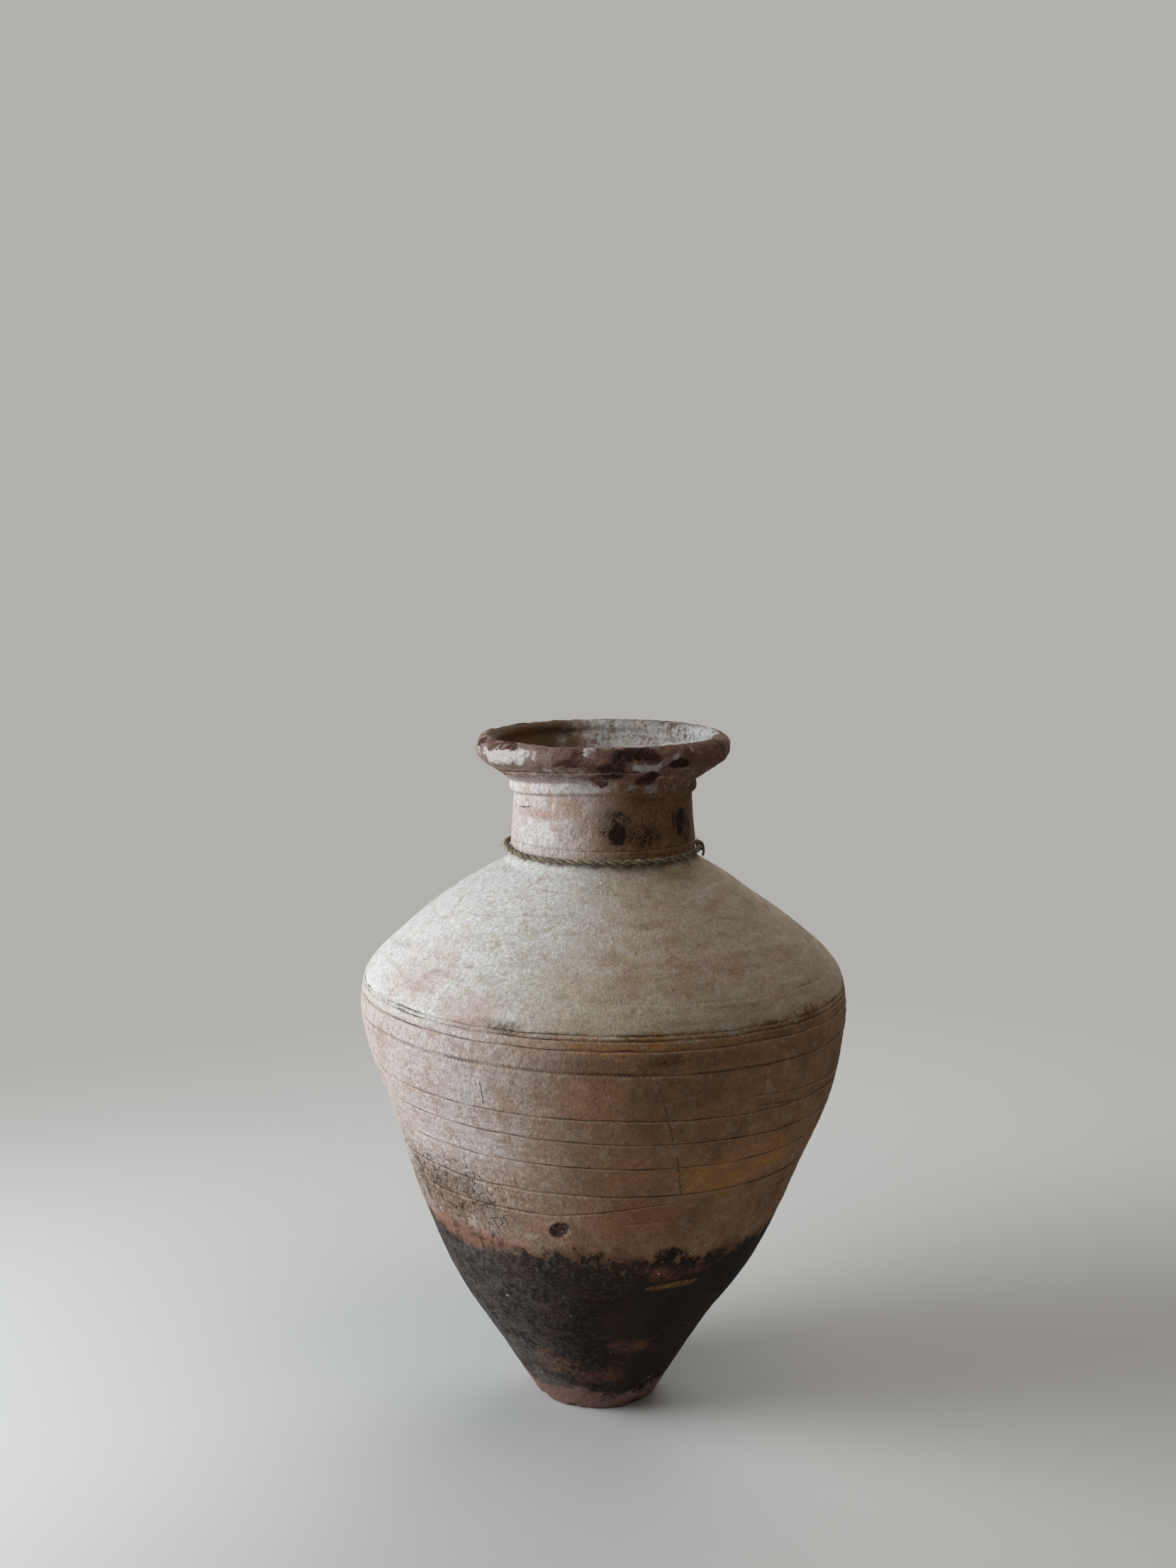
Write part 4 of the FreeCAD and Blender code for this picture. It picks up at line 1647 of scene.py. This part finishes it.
@dataclass
class NeckCord(CordPiece):
    """Cord that lies once round the foot of the neck, in millimetres and degrees from +X."""

    node: str = "neck_cord"
    height: float = 583.3
    centre_x: float = 0.1
    radius: float = 99.6
    steps: int = 24
    slack: float = 0.6
    stand: float = 4.5
    slack_power: int = 18
    sag: float = 0.4
    sags: int = 3
    sag_phase: float = 0.6
    ripple: float = 0.35
    ripples: int = 5
    fibre_count: int = 170
    fibre_radius: float = 0.13
    fibre_lengths: tuple[float, float] = (2.5, 8.0)
    fibre_lean: float = 1.2
    fibre_slant: float = 1.6
    fibre_curl: tuple[float, float] = (-0.6, 0.3)
    fibre_stand: float = 0.6
    tail: tuple[Station, ...] = ((100.6, 581.4), (102.6, 579.8), (103.4, 576.4), (103.3, 573.2))
    tail_angle: float = -34.4
    tail_radius: float = 0.7
    seed: int = 7
    MADE_OF: ClassVar[str] = "yarns"
    FIBRE_SHARES: ClassVar[tuple[float, ...]] = (0.35, 0.7, 1.0)

    def route(self) -> list[Vector]:
        """Control points of the cord's line.

        Returns:
            A ring that sags a little, and stands up a little where it is slack, away from the knot.
        """
        controls = []
        for step in range(self.steps):
            turn = FULL_TURN * step / self.steps
            loose = max(0.0, -math.cos(turn)) ** self.slack_power
            reach = self.radius + self.slack * loose + self.ripple * math.cos(self.ripples * turn)
            sag = self.sag * math.sin(self.sags * turn + self.sag_phase)
            rise = self.height + sag + self.stand * loose
            place = (self.centre_x + reach * math.cos(turn), reach * math.sin(turn), rise)
            controls.append(Vector(place) * MM)
        return controls

    def fibres(self, points: Sequence[Vector], outward: Sequence[Vector]) -> list[Thread]:
        """Short fibres that stand off the cord, away from the neck.

        Args:
            points: Points along the cord's middle.
            outward: Direction away from the neck at each point.

        Returns:
            The fibres.
        """
        draw = random.Random(self.seed)
        threads = []
        for _ in range(self.fibre_count):
            i = draw.randrange(1, len(points) - 1)
            lean = draw.uniform(-self.fibre_lean, self.fibre_lean)
            away = outward[i] * math.cos(lean) + Vector((0.0, 0.0, math.sin(lean)))
            along = (points[i + 1] - points[i - 1]).normalized()
            along *= draw.uniform(-self.fibre_slant, self.fibre_slant)
            curl = Vector((0.0, 0.0, draw.uniform(*self.fibre_curl)))
            length = draw.uniform(*self.fibre_lengths) * MM
            root = points[i] + away * self.rope.strand_offset * MM
            line = [root]
            for share in self.FIBRE_SHARES:
                way = (away * self.fibre_stand + along) * share + curl * share * share
                line.append(root + way.normalized() * (length * share))
            threads.append(Thread(line, self.fibre_radius))
        return threads

    def threads(self) -> list[Thread]:
        """Yarns, tail and loose fibres.

        Returns:
            The threads.
        """
        points = read_route("cord_route", self.route(), closed=True)
        points.append(points[0].copy())
        outward = [Vector((p.x, p.y, 0.0)).normalized() for p in points]
        turn = math.radians(self.tail_angle)
        tail = [Vector((r * math.cos(turn), r * math.sin(turn), z)) * MM for r, z in self.tail]
        tail_thread = Thread(read_route("tail_route", tail), self.tail_radius)
        return [*self.rope.yarns(points, outward), tail_thread, *self.fibres(points, outward)]


@dataclass
class CordKnot(CordPiece):
    """Knot that closes the cord, with its two short ends; their points are taken from its centre."""

    node: str = "cord_knot"
    rope: Rope = Rope(strand_count=1, strand_offset=0.0, yarn_offset=0.72, yarn_pitch=9.0, yarn_radius=0.8)
    centre: Point = (99.0, 0.0, 583.2)
    turns: int = 3
    per_turn: int = 8
    half_length: float = 4.6
    wrap: float = 3.6
    upright: float = 1.1
    nearest: float = 97.1
    first_end: tuple[Point, ...] = ((3.2, -4.4, -9.5), (4.2, -5.2, -6.5), (4.0, -5.4, -3.0))
    last_end: tuple[Point, ...] = ((4.2, 4.0, -3.0), (4.6, 1.5, -6.5))
    MADE_OF: ClassVar[str] = "strand"

    def route(self) -> list[Vector]:
        """Control points of the strand that is wound round the cord.

        Returns:
            The points in metres.
        """
        centre = Vector(self.centre)
        count = self.turns * self.per_turn
        winding = []
        for i in range(count + 1):
            turn = FULL_TURN * i / self.per_turn
            across = max(self.nearest - centre.x, self.wrap * math.cos(turn))
            along = self.half_length * (2.0 * i / count - 1.0)
            winding.append((across, along, self.wrap * self.upright * math.sin(turn)))
        return [(centre + Vector(point)) * MM for point in (*self.first_end, *winding, *self.last_end)]

    def threads(self) -> list[Thread]:
        """Yarns of the wound strand.

        Returns:
            The threads.
        """
        points = read_route("knot_route", self.route())
        x, _, z = self.centre
        outward = [Vector((p.x - x * MM, 0.0, p.z - z * MM)).normalized() for p in points]
        return self.rope.yarns(points, outward)


@dataclass(frozen=True)
class Lamp:
    """Soft square lamp that faces the jar, in metres and degrees."""

    name: str
    azimuth: float
    elevation: float
    distance: float
    size: float
    power: float
    colour: Colour

    def build(self, target: Vector) -> None:
        """Hang the lamp.

        Args:
            target: Point that it faces.
        """
        turn, rise = math.radians(self.azimuth), math.radians(self.elevation)
        away = Vector((math.cos(turn) * math.cos(rise), math.sin(turn) * math.cos(rise), math.sin(rise)))
        light = bpy.data.lights.new(self.name, "AREA")
        light.shape = "SQUARE"
        light.size = self.size
        light.energy = self.power
        light.color = self.colour
        lamp = add_object(self.name, light)
        lamp.location = target + away * self.distance
        lamp.rotation_euler = (-away).to_track_quat("-Z", "Y").to_euler()
        lamp.visible_camera = False


@dataclass
class Studio:
    """Plain floor and backdrop, soft lamps and the camera."""

    focal_px: float = 2973.15
    image_height_px: float = 2212.0
    camera_place: Point = (-0.0154, -2.13125, 0.96845)
    pitch_down: float = 8.578
    sensor_mm: float = 24.0
    target: Point = (0.0, 0.0, 0.38)
    lamps: tuple[Lamp, ...] = (
        Lamp("window", -166.0, 22.0, 2.2, 1.4, 68.0, (0.86, 0.935, 1.0)),
        Lamp("ceiling", -38.0, 64.0, 3.0, 2.0, 18.0, (1.0, 0.92, 0.80)),
        Lamp("behind", 72.0, 30.0, 2.6, 1.8, 34.0, (0.92, 0.96, 1.0)),
    )
    floor_colour: Colour = paint(196, 194, 190)
    floor_dull: float = 0.9
    floor_radius: float = 4.0
    floor_sides: int = 96
    fade_start: float = 0.7
    fade_end: float = 1.9
    backdrop_colour: Colour = paint(178, 176, 172)
    sky_colour: Colour = (1.0, 0.93, 0.84)
    sky_strength: float = 0.095

    def build(self) -> None:
        """Set everything up."""
        self.build_floor()
        for lamp in self.lamps:
            lamp.build(Vector(self.target))
        self.build_sky()
        self.build_camera()

    def build_sky(self) -> None:
        """Dim even light from all round, in front of a plain pale background."""
        world = bpy.data.worlds.new("room")
        world.use_nodes = True
        tree = world.node_tree
        sky = tree.nodes["Background"]
        sky.inputs["Color"].default_value = (*self.sky_colour, 1.0)
        sky.inputs["Strength"].default_value = self.sky_strength
        shown = tree.nodes.new("ShaderNodeBackground")
        shown.inputs["Color"].default_value = (*self.backdrop_colour, 1.0)
        seen = tree.nodes.new("ShaderNodeLightPath").outputs["Is Camera Ray"]
        pick = tree.nodes.new("ShaderNodeMixShader")
        for source, socket in zip((seen, sky.outputs[0], shown.outputs[0]), pick.inputs):
            tree.links.new(source, socket)
        tree.links.new(pick.outputs[0], tree.nodes["World Output"].inputs["Surface"])
        bpy.context.scene.world = world

    def build_floor(self) -> None:
        """Round floor that passes into the background away from the jar."""
        bm = bmesh.new()
        bmesh.ops.create_circle(bm, cap_ends=True, segments=self.floor_sides, radius=self.floor_radius)
        mesh = bpy.data.meshes.new("floor")
        bm.to_mesh(mesh)
        bm.free()
        graph = NodeGraph("pale_floor")
        _, radius, _ = graph.polar()
        seen = graph.node("LightPath", {}).outputs["Is Camera Ray"]
        far = graph.times(seen, graph.step(radius, self.fade_start, self.fade_end))
        shown = graph.node("Emission", {"Color": self.backdrop_colour})
        pick = graph.node("MixShader", {0: far, 1: graph.shader.outputs[0], 2: shown.outputs[0]})
        graph.put(graph.tree.nodes["Material Output"].inputs["Surface"], pick.outputs[0])
        mesh.materials.append(graph.finish({"Base Color": self.floor_colour, "Roughness": self.floor_dull}))
        add_object("floor", mesh)

    def build_camera(self) -> None:
        """Camera at the photograph's place."""
        data = bpy.data.cameras.new("camera")
        data.sensor_fit = "VERTICAL"
        data.sensor_height = self.sensor_mm
        data.lens = self.focal_px / self.image_height_px * self.sensor_mm
        camera = add_object("camera", data)
        camera.location = self.camera_place
        camera.rotation_euler = (math.radians(90.0 - self.pitch_down), 0.0, 0.0)
        bpy.context.scene.camera = camera


def report(piece: bpy.types.Object) -> None:
    """Log what a piece is made of."""
    LOG.info("%s: %d vertices, %d faces", piece.name, len(piece.data.vertices), len(piece.data.polygons))


def main() -> None:
    """Build the jar, its cord and the studio."""
    logging.basicConfig(level=logging.INFO, format="%(message)s")
    bpy.context.scene.view_settings.view_transform = "Standard"
    body, relief, weathering = BodyLine(), Relief(), Weathering()
    clay, fibre = ClayFinish().make(), CordFinish().make()
    stages = (
        FootSlab(),
        WallRing("lower_wall", "sooted_clay", 480, low=22.0, high=150.0),
        WallRing("middle_wall", low=150.0, high=282.0),
        WallRing("upper_wall", outer_step=1.05 * MM, low=282.0, high=415.0),
        WallRing("shoulder", columns=528, outer_step=1.45 * MM, inner_step=9.0 * MM, low=415.0, high=568.5),
        NeckCollar(),
        RimRing(),
    )
    for stage in stages:
        piece = stage.build(body, relief, weathering)
        stage.dress(piece, clay)
        report(piece)
    for part in (NeckCord(), CordKnot()):
        piece = part.build()
        part.dress(piece, fibre)
        report(piece)
    Studio().build()


if __name__ == "__main__":
    main()
